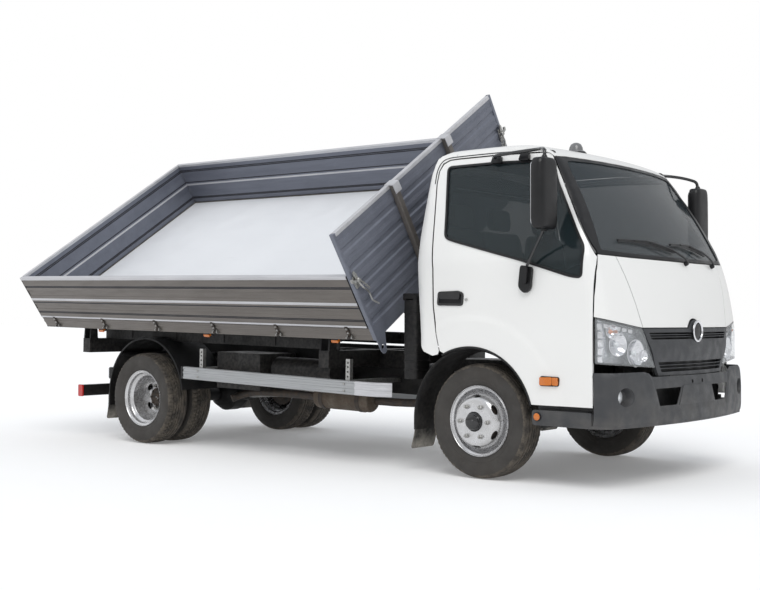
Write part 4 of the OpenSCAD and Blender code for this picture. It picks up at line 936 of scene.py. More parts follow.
# Latch, chain and bent handle at each front corner
for s, word, z0 in ((1, "left", 0.43), (-1, "right", 0.38)):
    y0 = 1.045
    x = FRONT + 0.004
    parts = [prism(rounded([(y0 - 0.030, z0 - 0.060), (y0 + 0.030, z0 - 0.060), (y0 + 0.036, z0 + 0.030),
                            (y0 - 0.020, z0 + 0.046)], 0.012), x, x + 0.007, "x"),
             lathe([(0.017, x), (0.017, x + 0.030), (0.011, x + 0.036)], 20, "x", (0, y0, z0), closed=False),
             prism(rounded([(y0 + 0.004, z0 - 0.014), (y0 + 0.062, z0 + 0.002), (y0 + 0.066, z0 + 0.030),
                            (y0 + 0.046, z0 + 0.034), (y0 + 0.040, z0 + 0.016), (y0, z0 + 0.010)], 0.006),
                   x + 0.008, x + 0.022, "x"),
             prism(rounded([(y0 - 0.016, z0 + 0.004), (y0 + 0.016, z0 + 0.004), (y0 + 0.022, z0 + 0.064),
                            (y0 + 0.004, z0 + 0.074)], 0.008), x + 0.010, x + 0.020, "x"),
             tube([(x + 0.018, y0, z0 - 0.01), (x + 0.030, y0 - 0.012, z0 - 0.07),
             (x + 0.020, y0 - 0.052, z0 - 0.13),
                   (x + 0.016, y0 - 0.060, z0 - 0.20), (x + 0.026, y0 - 0.095, z0 - 0.255)], 0.0065, 10)]
    p = Vector((x + 0.020, y0 - 0.02, z0 - 0.02))
    for i in range(7):
        parts.append(link(p, (0.1, -0.5, -1), (1, 0.2, 0) if i % 2 else (0, 1, -0.5)))
        p += Vector((0.001 * (3 - i), -0.0075, -0.0135))
    piece(f"latch_{word}", join(*parts), "bed", "zinc", side(s, on_bed), bevel=0.001)
# Marker lamps below the edge
for s, word in ((1, "left"), (-1, "right")):
    for i, x in enumerate((-3.97, -2.58, -1.19)):
        lens = prism(rounded([(x - 0.034, -0.139), (x + 0.034, -0.139), (x + 0.034, -0.116),
            (x - 0.034, -0.116)], 0.008),
                     HW - 0.030, HW - 0.004, "y")
        piece(f"marker_{word}_{i}", lens, "bed", "amber", side(s, on_bed), bevel=0.003)
        base = join(box((x - 0.044, HW - 0.044, -0.145), (x + 0.044, HW - 0.029, -0.099)),
                    box((x - 0.030, HW - 0.034, -0.116), (x + 0.030, HW - 0.008, -0.098)))
        piece(f"marker_base_{word}_{i}", base, "bed", "shell", side(s, on_bed), bevel=0.002)

# ---------- cab: the smooth form and its maps ----------
def curve(points):
    # A smooth line through (x, y) points, without overshoot
    pts = sorted(points)
    xs, ys = [q[0] for q in pts], [q[1] for q in pts]
    n = len(xs)
    d = [(ys[i + 1] - ys[i]) / (xs[i + 1] - xs[i]) for i in range(n - 1)]
    m = [d[0]] + [0 if d[i - 1] * d[i] <= 0 else 2 * d[i - 1] * d[i] / (d[i - 1] + d[i]) for i in range(1,
        n - 1)]
    m.append(d[-1])

    def f(x):
        if x <= xs[0]:
            return ys[0] + m[0] * (x - xs[0])
        if x >= xs[-1]:
            return ys[-1] + m[-1] * (x - xs[-1])
        i = max(j for j in range(n - 1) if xs[j] <= x)
        h = xs[i + 1] - xs[i]
        t = (x - xs[i]) / h
        return ((2 * t ** 3 - 3 * t * t + 1) * ys[i] + (t ** 3 - 2 * t * t + t) * h * m[i]
                + (3 * t * t - 2 * t ** 3) * ys[i + 1] + (t ** 3 - t * t) * h * m[i + 1])
    return f


def smin(a, b, k=0.03):
    h = max(k - abs(a - b), 0) / k
    return min(a, b) - h * h * k / 4


BOW = 7.46
FRONT_LINE = [(0.38, 1.096), (0.95, 1.104), (1.10, 1.086), (1.28, 1.052), (1.45, 1.0), (1.65, 0.905),
    (1.80, 0.820),
              (1.975, 0.705), (2.127, 0.590), (2.178, 0.500), (2.214, 0.360), (2.238, 0.150), (2.246, -0.1)]
fx = curve(FRONT_LINE)
zf = curve([(x, z) for z, x in FRONT_LINE[5:]] + [(-0.3, 2.248)])
REAR_LINE = [(0.4, -0.456), (0.9, -0.456), (1.25, -0.476), (1.8, -0.500), (2.06, -0.495), (2.165, -0.458),
             (2.222, -0.390), (2.26, -0.280)]
xr = curve(REAR_LINE)
zb = curve([(x, z) for z, x in REAR_LINE[4:]] + [(0.0, 2.30)])
HALF = [(0, 2.25), (0.2, 2.25), (0.40, 2.249), (0.56, 2.2455), (0.66, 2.240), (0.715, 2.231), (0.752, 2.214),
    (0.775, 2.190),
        (0.7905, 2.150), (0.806, 2.105), (0.892, 1.80), (0.976, 1.50), (0.987, 1.44), (0.990, 1.38),
        (0.990, 0.40)]
arc_len = [0]
for a, b in zip(HALF, HALF[1:]):
    arc_len.append(arc_len[-1] + math.dist(a, b))
yc, zc = curve([(v, q[0]) for v, q in zip(arc_len, HALF)]), curve([(v, q[1]) for v, q in zip(arc_len, HALF)])
v_of = curve([(q[1], v) for v, q in list(zip(arc_len, HALF))[5:]])
half_w = curve([(z, y) for y, z in HALF[5:]])
rc_of = curve([(0.4, 0.12), (1.0, 0.12), (1.3, 0.11), (1.5, 0.075), (1.7, 0.040), (2.2, 0.035)])
RR = 0.06


def shell_at(x, v):
    y, z = yc(v), zc(v)
    z = smin(smin(z, zf(x + y * y / BOW)), zb(x))
    k = xr(min(z, 2.1)) + RR - x
    if k > 0:
        y -= min(1, v / 0.9) * (RR - math.sqrt(max(RR * RR - k * k, 0)))
    return (x, y, z)


def side_at(x, z):
    if x < 0.38:
        return (x, half_w(z), z)
    wd, rc, yt, phi, cx, cy = plan(z)
    k = min(max(x - cx, 0), rc * 0.98)
    return (x, wd - rc + math.sqrt(rc * rc - k * k), z)


def door_at(x, z):
    # The side with the soft crease arched over the wheel
    p = side_at(x, z)
    r = math.hypot(x + 0.02, z - 0.383)
    t = min(max((0.715 - r) / 0.05, 0), 1)
    fade = min(max((x + 0.42) / 0.2, 0), 1) * min(max((0.86 - x) / 0.25, 0), 1)
    return (p[0], p[1] + 0.010 * (t * t * (3 - 2 * t) - 0.5) * fade * (1 if r > 0.6 else max(0,
        (r - 0.45) / 0.15)), p[2])


def rear_at(y, z):
    k = abs(y) - (half_w(min(z, 2.1)) - RR)
    return (xr(z) + (RR - math.sqrt(max(RR * RR - k * k, 0)) if k > 0 else 0), y, z)


def plan(z):
    w, rc = half_w(z), rc_of(z)
    yt = w - rc + rc * 0.232
    phi = math.atan(2 * yt / BOW)
    xt = fx(z) - yt * yt / BOW
    return w, rc, yt, phi, xt - rc * math.cos(phi), yt - rc * math.sin(phi)


def front_at(w, z):
    s, a = (1 if w >= 0 else -1), abs(w)
    wd, rc, yt, phi, cx, cy = plan(z)
    bend = rc * (math.pi / 2 - phi)
    if a <= yt:
        return (fx(z) - a * a / BOW, w, z)
    if a <= yt + bend:
        t = phi + (a - yt) / rc
        return (cx + rc * math.cos(t), s * (cy + rc * math.sin(t)), z)
    return (cx - (a - yt - bend), s * (cy + rc), z)


def w_x(x, z):
    wd, rc, yt, phi, cx, cy = plan(z)
    if x > cx:
        return yt + (math.acos(min(1, (x - cx) / rc)) - phi) * rc
    return yt + rc * (math.pi / 2 - phi) + cx - x


def shift(at, d, flip=False):
    # The same surface, moved outwards by d
    e = 1e-4

    def f(u, v):
        n = (Vector(at(u + e, v)) - Vector(at(u - e, v))).cross(Vector(at(u, v + e)) - Vector(at(u, v - e)))
        return Vector(at(u, v)) + n.normalized() * (-d if flip else d)
    return f


def inset(loop, d):
    # Moves a closed outline inwards by d (outwards when negative)
    n = len(loop)
    area = sum(loop[i][0] * loop[(i + 1) % n][1] - loop[(i + 1) % n][0] * loop[i][1] for i in range(n))
    d = d if area > 0 else -d
    out = []
    for i in range(n):
        a, b, c = Vector(loop[i - 1]), Vector(loop[i]), Vector(loop[(i + 1) % n])
        u, v = (b - a).normalized(), (c - b).normalized()
        nu, nv = Vector((-u.y, u.x)), Vector((-v.y, v.x))
        m = nu + nv
        k = m.length_squared
        out.append(tuple(b + m * (2 * d / k if k > 0.3 else d)))
    return out


def full(half):
    # A half outline from the middle out and back, mirrored into a whole one
    return half + [(-a, b) for a, b in half[::-1] if abs(a) > 1e-6]


xd = curve([(0.5, 0.900), (1.43, 0.900), (1.53, 0.848), (1.965, 0.597), (2.126, 0.505)])
ARCH = (-0.02, 0.383)


def door_line(g):
    # The door's outline, grown by g
    r = 0.490 - g
    a0 = math.acos((-0.272 - g - ARCH[0]) / r)
    a1 = math.asin((0.516 - g - ARCH[1]) / r)
    pts = [(0.900 + g, 0.516 - g), (0.900 + g, 1.400), (0.893 + g, 1.445), (0.848 + g, 1.530),
        (0.597 + g, 1.965),
           (0.505 + g, 2.118 + g), (0.480, 2.142 + g), (0.440, 2.150 + g), (0.1, 2.163 + g),
           (-0.25, 2.166 + g),
           (-0.335, 2.163 + g), (-0.385 - g, 2.140 + g), (-0.408 - g, 2.090), (-0.410 - g, 2.0),
           (-0.380 - g, 1.76),
           (-0.345 - g, 1.50), (-0.330 - g, 1.40), (-0.326 - g, 1.15), (-0.300 - g, 0.96),
           (-0.272 - g, 0.845)]
    n = 22
    for i in range(1, n + 1):
        a = a0 + (a1 - a0) * i / n
        pts.append((ARCH[0] + r * math.cos(a), ARCH[1] + r * math.sin(a)))
    return pts


WINDOW = rounded([(-0.345, 2.119), (0.094, 2.116), (0.520, 2.094), (0.571, 1.952), (0.833, 1.508),
    (0.826, 1.312),
                  (0.740, 1.322), (0.365, 1.437), (-0.174, 1.579), (-0.265, 1.608)], 0.042, 6)

# ---------- cab: outer panels ----------
edge = [(0.596 - yc(v) ** 2 / BOW, v) for v in (0.0, 0.2, 0.4, 0.56, 0.66, 0.70)]
opening = door_line(0.004)
ridge = [(x, v_of(z)) for x, z in opening[5:20]]
lower = [(-0.285, 0.822), (-0.330, 0.812), (-0.405, 0.840), (xr(0.86) + 0.018, 0.880)]
back = [(xr(z) + 0.018, z) for z in (0.95, 1.1, 1.25, 1.5, 1.8, 2.0, 2.08)]
outline = edge + [(0.514, v_of(2.126))] + ridge[1:] + [(x, v_of(z)) for x, z in lower + back]
outline += [(-0.452, v_of(2.14)), (-0.438, v_of(2.19)), (-0.430, 0.66), (-0.430, 0.4), (-0.430, 0.0)]
bm = join(skin([outline], shell_at, 0.004, 0.035, flip=True),
          skin([[(x, -v) for x, v in outline[::-1]]], lambda x,
          v: (shell_at(x, -v)[0], -shell_at(x, -v)[1], shell_at(x, -v)[2]),
               0.004, 0.035, flip=True))
for v in bm.verts:
    if abs(v.co.y) < 2e-4:
        v.co.y = 0
bmesh.ops.remove_doubles(bm, verts=bm.verts, dist=3e-4)
bmesh.ops.delete(bm, geom=[f for f in bm.faces if all(abs(q.co.y) < 1e-4 for q in f.verts)], context="FACES")
piece("cab_skin", bm, "cab", "white", bevel=0.0015, nodes=["cab_shell"])
tall = [(half_w(z) - 0.018, z) for z in (0.88, 1.0, 1.2, 1.5, 1.8, 2.0, 2.08)] + [(0.782, 2.14),
    (0.752, 2.185), (0.66, 2.197),
                                                                              (0.0, 2.199)]
back_loop = full([(0.0, 0.88)] + tall)
glass_loop = rounded([(-0.59, 1.56), (0.59, 1.56), (0.59, 1.99), (-0.59, 1.99)], 0.07, 6)
piece("cab_back", skin([back_loop, glass_loop], rear_at, 0.004, 0.05), "cab", "white", bevel=0.0015)
piece("back_ribs", join(*[skin([rounded([(y - 0.05, 0.96), (y + 0.05, 0.96), (y + 0.05, 1.48),
    (y - 0.05, 1.48)], 0.045)],
                               shift(rear_at, -0.006, True), 0.006, 0.05) for y in (-0.72, -0.48, -0.24, 0,
                               0.24, 0.48, 0.72)]),
      "cab", "white", bevel=0.004)
piece("back_rubber", skin([inset(glass_loop, -0.012), inset(glass_loop, 0.016)], shift(rear_at, -0.004, True),
    0.014, 0.05),
      "cab", "shell", bevel=0.003)
piece("back_glass", skin([inset(glass_loop, 0.002)], shift(rear_at, 0.004, True), 0.004, 0.05), "cab",
    "glass",
      nodes=["rear_window"])

hood = full([(0.0, 1.443), (0.30, 1.445), (0.60, 1.450), (0.742, 1.455), (0.621, 1.0095), (0.105, 1.0095),
    (0.092, 1.022),
             (0.062, 1.052), (0.030, 1.066), (0.0, 1.069)])
piece("hood", skin([hood], front_at, 0.005, 0.035), "cab", "white", bevel=0.002, nodes=["front_panel"])
LAMP = [(w_x(0.909, 1.07), 1.070), (w_x(0.910, 1.0), 0.99), (w_x(0.911, 0.85), 0.85),
    (w_x(0.911, 0.78), 0.789),
        (0.90, 0.781), (0.66, 0.766), (0.505, 0.757), (0.545, 0.845), (0.600, 0.940), (0.634, 1.004),
        (0.72, 1.018), (0.90, 1.048)]
LAMP = rounded(LAMP, 0.012, 3)
corner = [(0.748, 1.455), (0.85, 1.459)] + [(w_x(0.9035, z), z) for z in (1.462, 1.35, 1.2, 1.0755)]
corner += [(0.90, 1.0525), (0.72, 1.0225), (0.627, 1.0095)]


def lamp_cup(y, z, r, depth, x_out, tilt=0.0):
    prof = []
    for i in range(13):
        t = i / 12
        prof.append((r * math.sqrt(t), -depth * (1 - t)))
    prof += [(r + 0.004, 0.0)] + [(r * math.sqrt(i / 12) + 0.003,
        -depth * (1 - i / 12) - 0.003) for i in range(12, -1, -1)]
    bm = lathe(prof, 40, "x")
    for v in bm.verts:
        v.co = Matrix.Rotation(tilt, 3, "Z") @ v.co + Vector((x_out, y, z))
    return bm


for s, word in ((1, "left"), (-1, "right")):
    place = side(s, truck)
    piece(f"corner_panel_{word}", skin([corner], front_at, 0.005, 0.03), "cab", "white", place, bevel=0.002)
    lens = skin([LAMP], shift(front_at, 0.001), 0.003, 0.03)
    piece(f"lamp_lens_{word}", lens, "cab", "lens", place, bevel=0.001, nodes=["headlamps"] if s > 0 else ())
    piece(f"lamp_frame_{word}", skin([inset(LAMP, -0.0015), inset(LAMP, 0.010)], shift(front_at, -0.001),
        0.055, 0.03), "cab",
          "trim", place, bevel=0.002)
    piece(f"lamp_back_{word}", skin([inset(LAMP, 0.004)], shift(front_at, -0.052), 0.006, 0.03), "cab",
        "reflector", place,
          bevel=0.002)
    ribs = [skin([[(0.70 + i * 0.055, 0.975 + i * 0.008), (0.74 + i * 0.055, 0.98 + i * 0.008),
                   (0.735 + i * 0.055, 1.005 + i * 0.008), (0.695 + i * 0.055, 1.0 + i * 0.008)]],
                 shift(front_at, -0.028), 0.02, 0.03) for i in range(5)]
    piece(f"lamp_ribs_{word}", join(*ribs), "cab", "chrome", place, bevel=0.003)
    wall = [skin([[(0.975, 0.79 + i * 0.052), (1.012, 0.79 + i * 0.052), (1.012, 0.828 + i * 0.052),
        (0.975, 0.828 + i * 0.052)]],
                 shift(front_at, -0.022), 0.025, 0.03) for i in range(5)]
    piece(f"lamp_steps_{word}", join(*wall), "cab", "chrome", place, bevel=0.003)
    cups = join(lamp_cup(0.845, 0.905, 0.068, 0.045, 0.993, 0.35),
        lamp_cup(0.690, 0.850, 0.082, 0.045, 1.032, 0.15),
                lamp_cup(0.606, 0.832, 0.033, 0.03, 1.048, 0.1))
    piece(f"lamp_cups_{word}", cups, "cab", "chrome", place)
    bulb = join(lathe([(0.0, 0.0), (0.014, 0.004), (0.018, 0.016), (0.012, 0.028), (0.0, 0.032)], 20, "x",
        (0.965, 0.845, 0.905),
                      closed=False),
                lathe([(0.0, 0.0), (0.014, 0.004), (0.018, 0.016), (0.012, 0.028), (0.0, 0.032)], 20, "x",
                (1.002, 0.690, 0.850),
                      closed=False))
    piece(f"lamp_bulbs_{word}", bulb, "cab", "bulb", place)
    amber = lathe([(0.0, 0.0), (0.012, 0.004), (0.015, 0.014), (0.008, 0.026), (0.0, 0.029)], 20, "x",
        (0.955, 0.895, 0.985),
                  closed=False)
    piece(f"lamp_amber_{word}", amber, "cab", "amber", place)
    cup2 = lamp_cup(0.885, 0.985, 0.040, 0.03, 0.975, 0.5)
    piece(f"lamp_turn_{word}", cup2, "cab", "chrome", place)

# Grille: frame with two slots, bars, back panel and a plain ring
G_OUT = full([(0.0, 1.0600), (0.028, 1.0575), (0.058, 1.044), (0.085, 1.018), (0.100, 1.004), (0.628, 1.004),
    (0.598, 0.944),
              (0.548, 0.848), (0.489, 0.736), (0.470, 0.704), (0.0, 0.700)])
up_slot = rounded([(-0.545, 0.934), (0.545, 0.934), (0.572, 0.978), (-0.572, 0.978)], 0.010, 3)
lo_slot = rounded([(-0.438, 0.726), (0.438, 0.726), (0.474, 0.790), (-0.474, 0.790)], 0.010, 3)


def grille_at(w, z):
    p = front_at(w, z)
    k = math.hypot(w, z - 0.984)
    swell = 0.012 * max(0, 1 - (k / 0.12) ** 2)
    band = 0.010 * max(0, 1 - ((z - 0.865) / 0.075) ** 2)
    return (p[0] + 0.003 + swell + band, p[1], p[2])


piece("grille_frame", skin([G_OUT, up_slot, lo_slot], grille_at, 0.022, 0.02), "cab", "plastic", bevel=0.004,
      nodes=["grille"])
piece("grille_back", skin([inset(G_OUT, 0.012)], shift(front_at, -0.040), 0.004, 0.04), "cab", "black")
bars = []
for z, w in ((0.949, 0.556), (0.964, 0.564), (0.748, 0.452), (0.769, 0.462)):
    path = [shift(front_at, -0.008)(w * t / 12, z) for t in range(-12, 13)]
    bars.append(sweep(path, rounded([(-0.010, -0.0045), (0.010, -0.0025), (0.010, 0.0025), (-0.010, 0.0045)],
        0.002, 2)))
piece("grille_bars", join(*bars), "cab", "plastic", bevel=0.001)
ring = lathe([(0.066, 0.0), (0.0715, 0.004), (0.072, 0.010), (0.067, 0.014), (0.059, 0.013), (0.056, 0.008),
    (0.058, 0.0)], 56, "x",
             (1.117, 0, 0.984))
disc = lathe([(0.060, -0.006), (0.060, 0.004), (0.030, 0.008), (0.0, 0.009)], 48, "x", (1.117, 0, 0.984),
    closed=False)
piece("badge_ring", ring, "cab", "chrome", bevel=0.001)
piece("badge_disc", disc, "cab", "shell", bevel=0.001)

# Windscreen: glass, black border and pillar strips
GL = full([(0.0, 2.114), (0.40, 2.113), (0.67, 2.106), (0.718, 2.098), (0.744, 2.070), (0.768, 1.965),
    (0.803, 1.80),
           (0.840, 1.64), (0.868, 1.52), (0.868, 1.495), (0.850, 1.480), (0.60, 1.468), (0.30, 1.461),
           (0.0, 1.459)])
outer = [(0.0, 2.131), (0.35, 2.130), (0.60, 2.126), (0.715, 2.121), (w_x(0.520, 2.105), 2.112)]
outer += [(w_x(xd(z) + 0.0045, z), z) for z in (2.08, 2.0, 1.9, 1.8, 1.7, 1.6, 1.53, 1.49)]
outer += [(w_x(0.905, 1.468), 1.4685), (0.90, 1.4655), (0.747, 1.462), (0.60, 1.457), (0.30, 1.452),
    (0.0, 1.450)]
piece("windscreen_border", skin([full(outer), inset(GL, 0.012)], shift(front_at, 0.001), 0.010, 0.03), "cab",
    "shell",
      bevel=0.002)
piece("windscreen_glass", skin([GL], shift(front_at, -0.005), 0.004, 0.03), "cab", "screen",
    nodes=["windscreen"])
# Wipers
for i, y0 in enumerate((0.06, 0.56)):
    on = lambda w, z, d=0.012: shift(front_at, d)(w, z)
    hub = lathe([(0.017, 0), (0.017, 0.018), (0.012, 0.026), (0.0, 0.027)], 20, "z", (0, 0, 0), closed=False)
    nn = (shift(front_at, 1.0)(y0, 1.436) - Vector(front_at(y0, 1.436))).normalized()
    m = nn.to_track_quat("Z", "Y").to_matrix()
    for v in hub.verts:
        v.co = m @ v.co + Vector(front_at(y0, 1.436))
    k = 1.0 if i == 0 else 0.86
    arm = tube([on(y0, 1.436, 0.022), on(y0 - 0.06 * k, 1.462, 0.034), on(y0 - 0.22 * k, 1.512, 0.036),
                on(y0 - 0.42 * k, 1.548, 0.026)], 0.0065, 8)
    blade = sweep([on(y0 - 0.12 * k - 0.62 * k * t / 14, 1.505 + 0.052 * math.sin(1.9 * t / 14),
        0.011) for t in range(15)],
                  [(-0.004, -0.008), (0.004, -0.008), (0.009, 0.008), (-0.009, 0.008)], (0, 0, 1))
    frame_bar = tube([on(y0 - 0.26 * k, 1.532, 0.022), on(y0 - 0.42 * k, 1.551, 0.030),
        on(y0 - 0.58 * k, 1.556, 0.022)], 0.005, 8)
    piece(f"wiper_{i}", join(hub, arm, blade, frame_bar), "cab", "shell", bevel=0.0008,
        nodes=["wipers"] if i == 0 else ())
# Dark lining under the roof and in front of the back wall
lining = [(-0.40, 0.0), (-0.40, 0.62), (0.38, 0.62), (0.44, 0.0), (0.38, -0.62), (-0.40, -0.62)]
piece("roof_lining", skin([lining], lambda u, v: (u, v, 2.168 - 0.02 * (v / 0.62) ** 2 - 0.10 * max(0,
    u) ** 2), 0.006, 0.05), "cab",
      "dash", bevel=0.002)
back_in = full([(0.0, 0.96), (0.86, 0.96), (0.86, 1.5), (0.78, 1.8), (0.70, 2.10), (0.0, 2.14)])
piece("back_lining", skin([back_in, inset(glass_loop, -0.015)], shift(rear_at, 0.045), 0.005, 0.05), "cab",
    "dash", bevel=0.002)
# Roof lamp
lamp_z = 2.222
piece("roof_lamp_dome", lathe([(0.066, 0.006), (0.066, 0.014), (0.058, 0.020), (0.050, 0.024), (0.046, 0.045),
    (0.036, 0.066),
                               (0.018, 0.077), (0.0, 0.079)], 40, "z", (0.29, -0.15, lamp_z), closed=False),
                               "cab", "dome",
      bevel=0.0015, nodes=["roof_lamp"])
piece("roof_lamp_base", lathe([(0.074, -0.018), (0.074, 0.004), (0.068, 0.010), (0.0, 0.011)], 40, "z",
    (0.29, -0.15, lamp_z),
                              closed=False), "cab", "shell", bevel=0.0015)
# Drip strip over each door
for s, word in ((1, "left"), (-1, "right")):
    path = [Vector(side_at(q.x, q.y)) + Vector((0, 0.003, 0)) for q in
            smooth_path([(0.500, 2.146, 0), (0.44, 2.163, 0), (0.1, 2.178, 0), (-0.25, 2.181, 0),
            (-0.35, 2.176, 0),
                         (-0.40, 2.152, 0), (-0.424, 2.09, 0), (-0.424, 2.0, 0)], 6)]
    piece(f"drip_{word}", sweep(path, circle(0.0045, 8)), "cab", "shell", side(s, truck))

# ---------- doors, mirrors, handles ----------
def head_mesh():
    # The mirror's head: rounded sections stacked along its height, fuller towards the front
    bm = bmesh.new()
    rings = []
    zs = [(0.0, 0.62), (0.004, 0.78), (0.014, 0.90), (0.034, 0.975), (0.10, 1.0), (0.22, 1.0), (0.34, 0.985),
        (0.40, 0.95),
          (0.426, 0.88), (0.437, 0.76), (0.441, 0.60)]
    for h, k in zs:
        ring = []
        for i in range(40):
            a = 2 * math.pi * i / 40
            c, s = math.cos(a), math.sin(a)
            y = 0.108 * k * math.copysign(abs(s) ** 0.42, s)
            x = (0.052 if c > 0 else 0.034) * (0.4 + 0.6 * k) * math.copysign(abs(c) ** (0.75 if c > 0 else 0.3), c)
            ring.append(bm.verts.new((0.620 + x, 1.100 + y, 1.620 + h)))
        rings.append(ring)
    for a, b in zip(rings, rings[1:]):
        for i in range(40):
            j = (i + 1) % 40
            bm.faces.new((a[i], a[j], b[j], b[i]))
    bm.faces.new(rings[0][::-1])
    bm.faces.new(rings[-1])
    return bm


def window_ring(d_out, d_in, depth, off):
    return skin([inset(WINDOW, d_out), inset(WINDOW, d_in)], shift(side_at, off, True), depth, 0.05,
        flip=True)


DOOR = door_line(-0.0035)
for s, word in ((1, "left"), (-1, "right")):
    place = side(s, truck)
    body = f"{word}_door"
    piece(f"door_skin_{word}", skin([DOOR, inset(WINDOW, -0.001)], door_at, 0.006, 0.022, flip=True), body,
        "white", place,
          bevel=0.0018, nodes=[f"door_{word}"])
    piece(f"door_core_{word}", skin([inset(door_line(-0.016), 0.0), inset(WINDOW, -0.004)],
        shift(side_at, -0.017, True), 0.026,
                                    0.05, flip=True), body, "white", place, bevel=0.004)
    trim_loop = [(0.86, 0.60), (0.86, 1.40), (0.78, 1.285), (0.36, 1.400), (-0.18, 1.545), (-0.27, 1.56),
        (-0.29, 1.40),
                 (-0.28, 1.15), (-0.25, 0.96)]
    trim_loop += [(ARCH[0] + 0.545 * math.cos(a), ARCH[1] + 0.545 * math.sin(a)) for a in (1.9, 1.6, 1.3, 1.0,
        0.75, 0.55)]
    piece(f"door_trim_{word}", skin([rounded(trim_loop, 0.03, 4)], shift(side_at, -0.0435, True), 0.010, 0.05,
        flip=True), body,
          "dash", place, bevel=0.004)
    rest = sweep([(0.60, 0.925, 1.18), (0.40, 0.918, 1.20), (0.10, 0.916, 1.215), (-0.10, 0.922, 1.22)],
                 rounded([(-0.022, -0.03), (0.022, -0.03), (0.022, 0.03), (-0.022, 0.03)], 0.012))
    piece(f"door_rest_{word}", rest, body, "dash", place, bevel=0.006)
    piece(f"window_rubber_{word}", window_ring(-0.002, 0.013, 0.016, 0.0015), body, "shell", place,
        bevel=0.002)
    piece(f"window_glass_{word}", skin([inset(WINDOW, 0.003)], shift(side_at, -0.010, True), 0.004, 0.05,
        flip=True), body,
          "glass", place, nodes=[f"door_glass_{word}"])
    frame_loop = rounded([(-0.294, 1.152), (-0.080, 1.148), (-0.072, 1.232), (-0.110, 1.250),
        (-0.286, 1.246)], 0.022, 6)
    piece(f"handle_frame_{word}", skin([frame_loop, inset(frame_loop, 0.016)], shift(door_at, 0.006, True),
        0.012, 0.03,
                                       flip=True), body, "trim", place, bevel=0.004)
    piece(f"handle_cup_{word}", skin([inset(frame_loop, 0.010)], shift(door_at, 0.001, True), 0.004, 0.03,
        flip=True), body,
          "black", place, bevel=0.001)
    pull = rounded([(-0.270, 1.196), (-0.104, 1.192), (-0.100, 1.236), (-0.266, 1.234)], 0.015, 4)
    piece(f"handle_pull_{word}", skin([pull], shift(door_at, 0.011, True), 0.008, 0.03, flip=True), body,
        "trim", place,
          bevel=0.003)
    keyhole = lathe([(0.009, 0.9905), (0.009, 0.997), (0.006, 0.999), (0.0, 0.999)], 20, "y",
        (-0.050, 0, 1.190), closed=False)
    piece(f"door_lock_{word}", keyhole, body, "zinc", place)
    lampl = rounded([(0.528, 0.644), (0.656, 0.644), (0.660, 0.696), (0.532, 0.700)], 0.012, 4)
    piece(f"side_lamp_base_{word}", skin([inset(lampl, -0.004)], shift(door_at, 0.004, True), 0.006, 0.03,
        flip=True), body,
          "shell", place, bevel=0.002)
    half_lens = [skin([rounded([(a, 0.646), (b, 0.646), (b, 0.696), (a, 0.697)], 0.008, 3)],
        shift(door_at, 0.020, True), 0.018,
                      0.03, flip=True) for a, b in ((0.532, 0.614), (0.617, 0.656))]
    piece(f"side_lamp_{word}", join(*half_lens), body, "amber", place, bevel=0.004)
    piece(f"mirror_head_{word}", head_mesh(), body, "shell", place, angle=50, nodes=[f"mirror_{word}"])
    face = prism(rounded([(1.006, 1.645), (1.194, 1.645), (1.194, 2.035), (1.006, 2.035)], 0.03, 5), 0.5825,
        0.5865, "x")
    piece(f"mirror_face_{word}", face, body, "chrome", place, bevel=0.001)
    rail = tube([(0.075, 0.838, 2.140), (0.110, 0.858, 2.150), (0.300, 0.862, 2.158), (0.420, 0.880, 2.158),
        (0.520, 0.960, 2.146),
                 (0.585, 1.050, 2.128), (0.617, 1.085, 2.106), (0.622, 1.095, 2.050)], 0.0115, 12, 6)
    arm = tube([(0.622, 1.095, 1.632), (0.600, 1.085, 1.600), (0.520, 1.050, 1.500), (0.450, 1.022, 1.405),
        (0.432, 1.008, 1.372)],
               0.0095, 12, 6)
    piece(f"mirror_tubes_{word}", join(rail, arm), body, "trim", place)
    mounts = []
    for x0, x1 in ((0.035, 0.115), (0.255, 0.335)):
        b = skin([rounded([(x0, 2.100), (x1, 2.098), (x1 - 0.008, 2.148), (x0 + 0.008, 2.150)], 0.012)],
            shift(side_at, 0.026, True),
                 0.026, 0.03, flip=True)
        mounts.append(b)
    mounts.append(lathe([(0.019, 2.040), (0.019, 2.070), (0.013, 2.082)], 20, "z", (0.622, 1.095, 0),
        closed=False))
    mounts.append(lathe([(0.010, 1.606), (0.018, 1.612), (0.018, 1.632)], 20, "z", (0.620, 1.093, 0),
        closed=False))
    piece(f"mirror_mounts_{word}", join(*mounts), body, "shell", place, bevel=0.004)
    lug = join(skin([rounded([(0.372, 1.262), (0.420, 1.222), (0.462, 1.250), (0.476, 1.392), (0.388, 1.404)],
        0.026)],
                    shift(side_at, 0.024, True), 0.024, 0.03, flip=True),
               skin([rounded([(0.396, 1.290), (0.448, 1.284), (0.458, 1.396), (0.404, 1.402)], 0.018)],
                    shift(side_at, 0.048, True), 0.026, 0.03, flip=True))
    piece(f"mirror_lug_{word}", lug, body, "shell", place, bevel=0.008, seg=3)

# ---------- bumper and steps ----------
BUMP = [(0.034, 0.389), (0.014, 0.398), (0.004, 0.420), (0.0, 0.470), (0.0, 0.560), (0.002, 0.640),
    (0.006, 0.690), (0.010, 0.712),
        (0.016, 0.726), (0.022, 0.7325), (0.034, 0.734)]
bz = curve([(z, d) for d, z in BUMP])


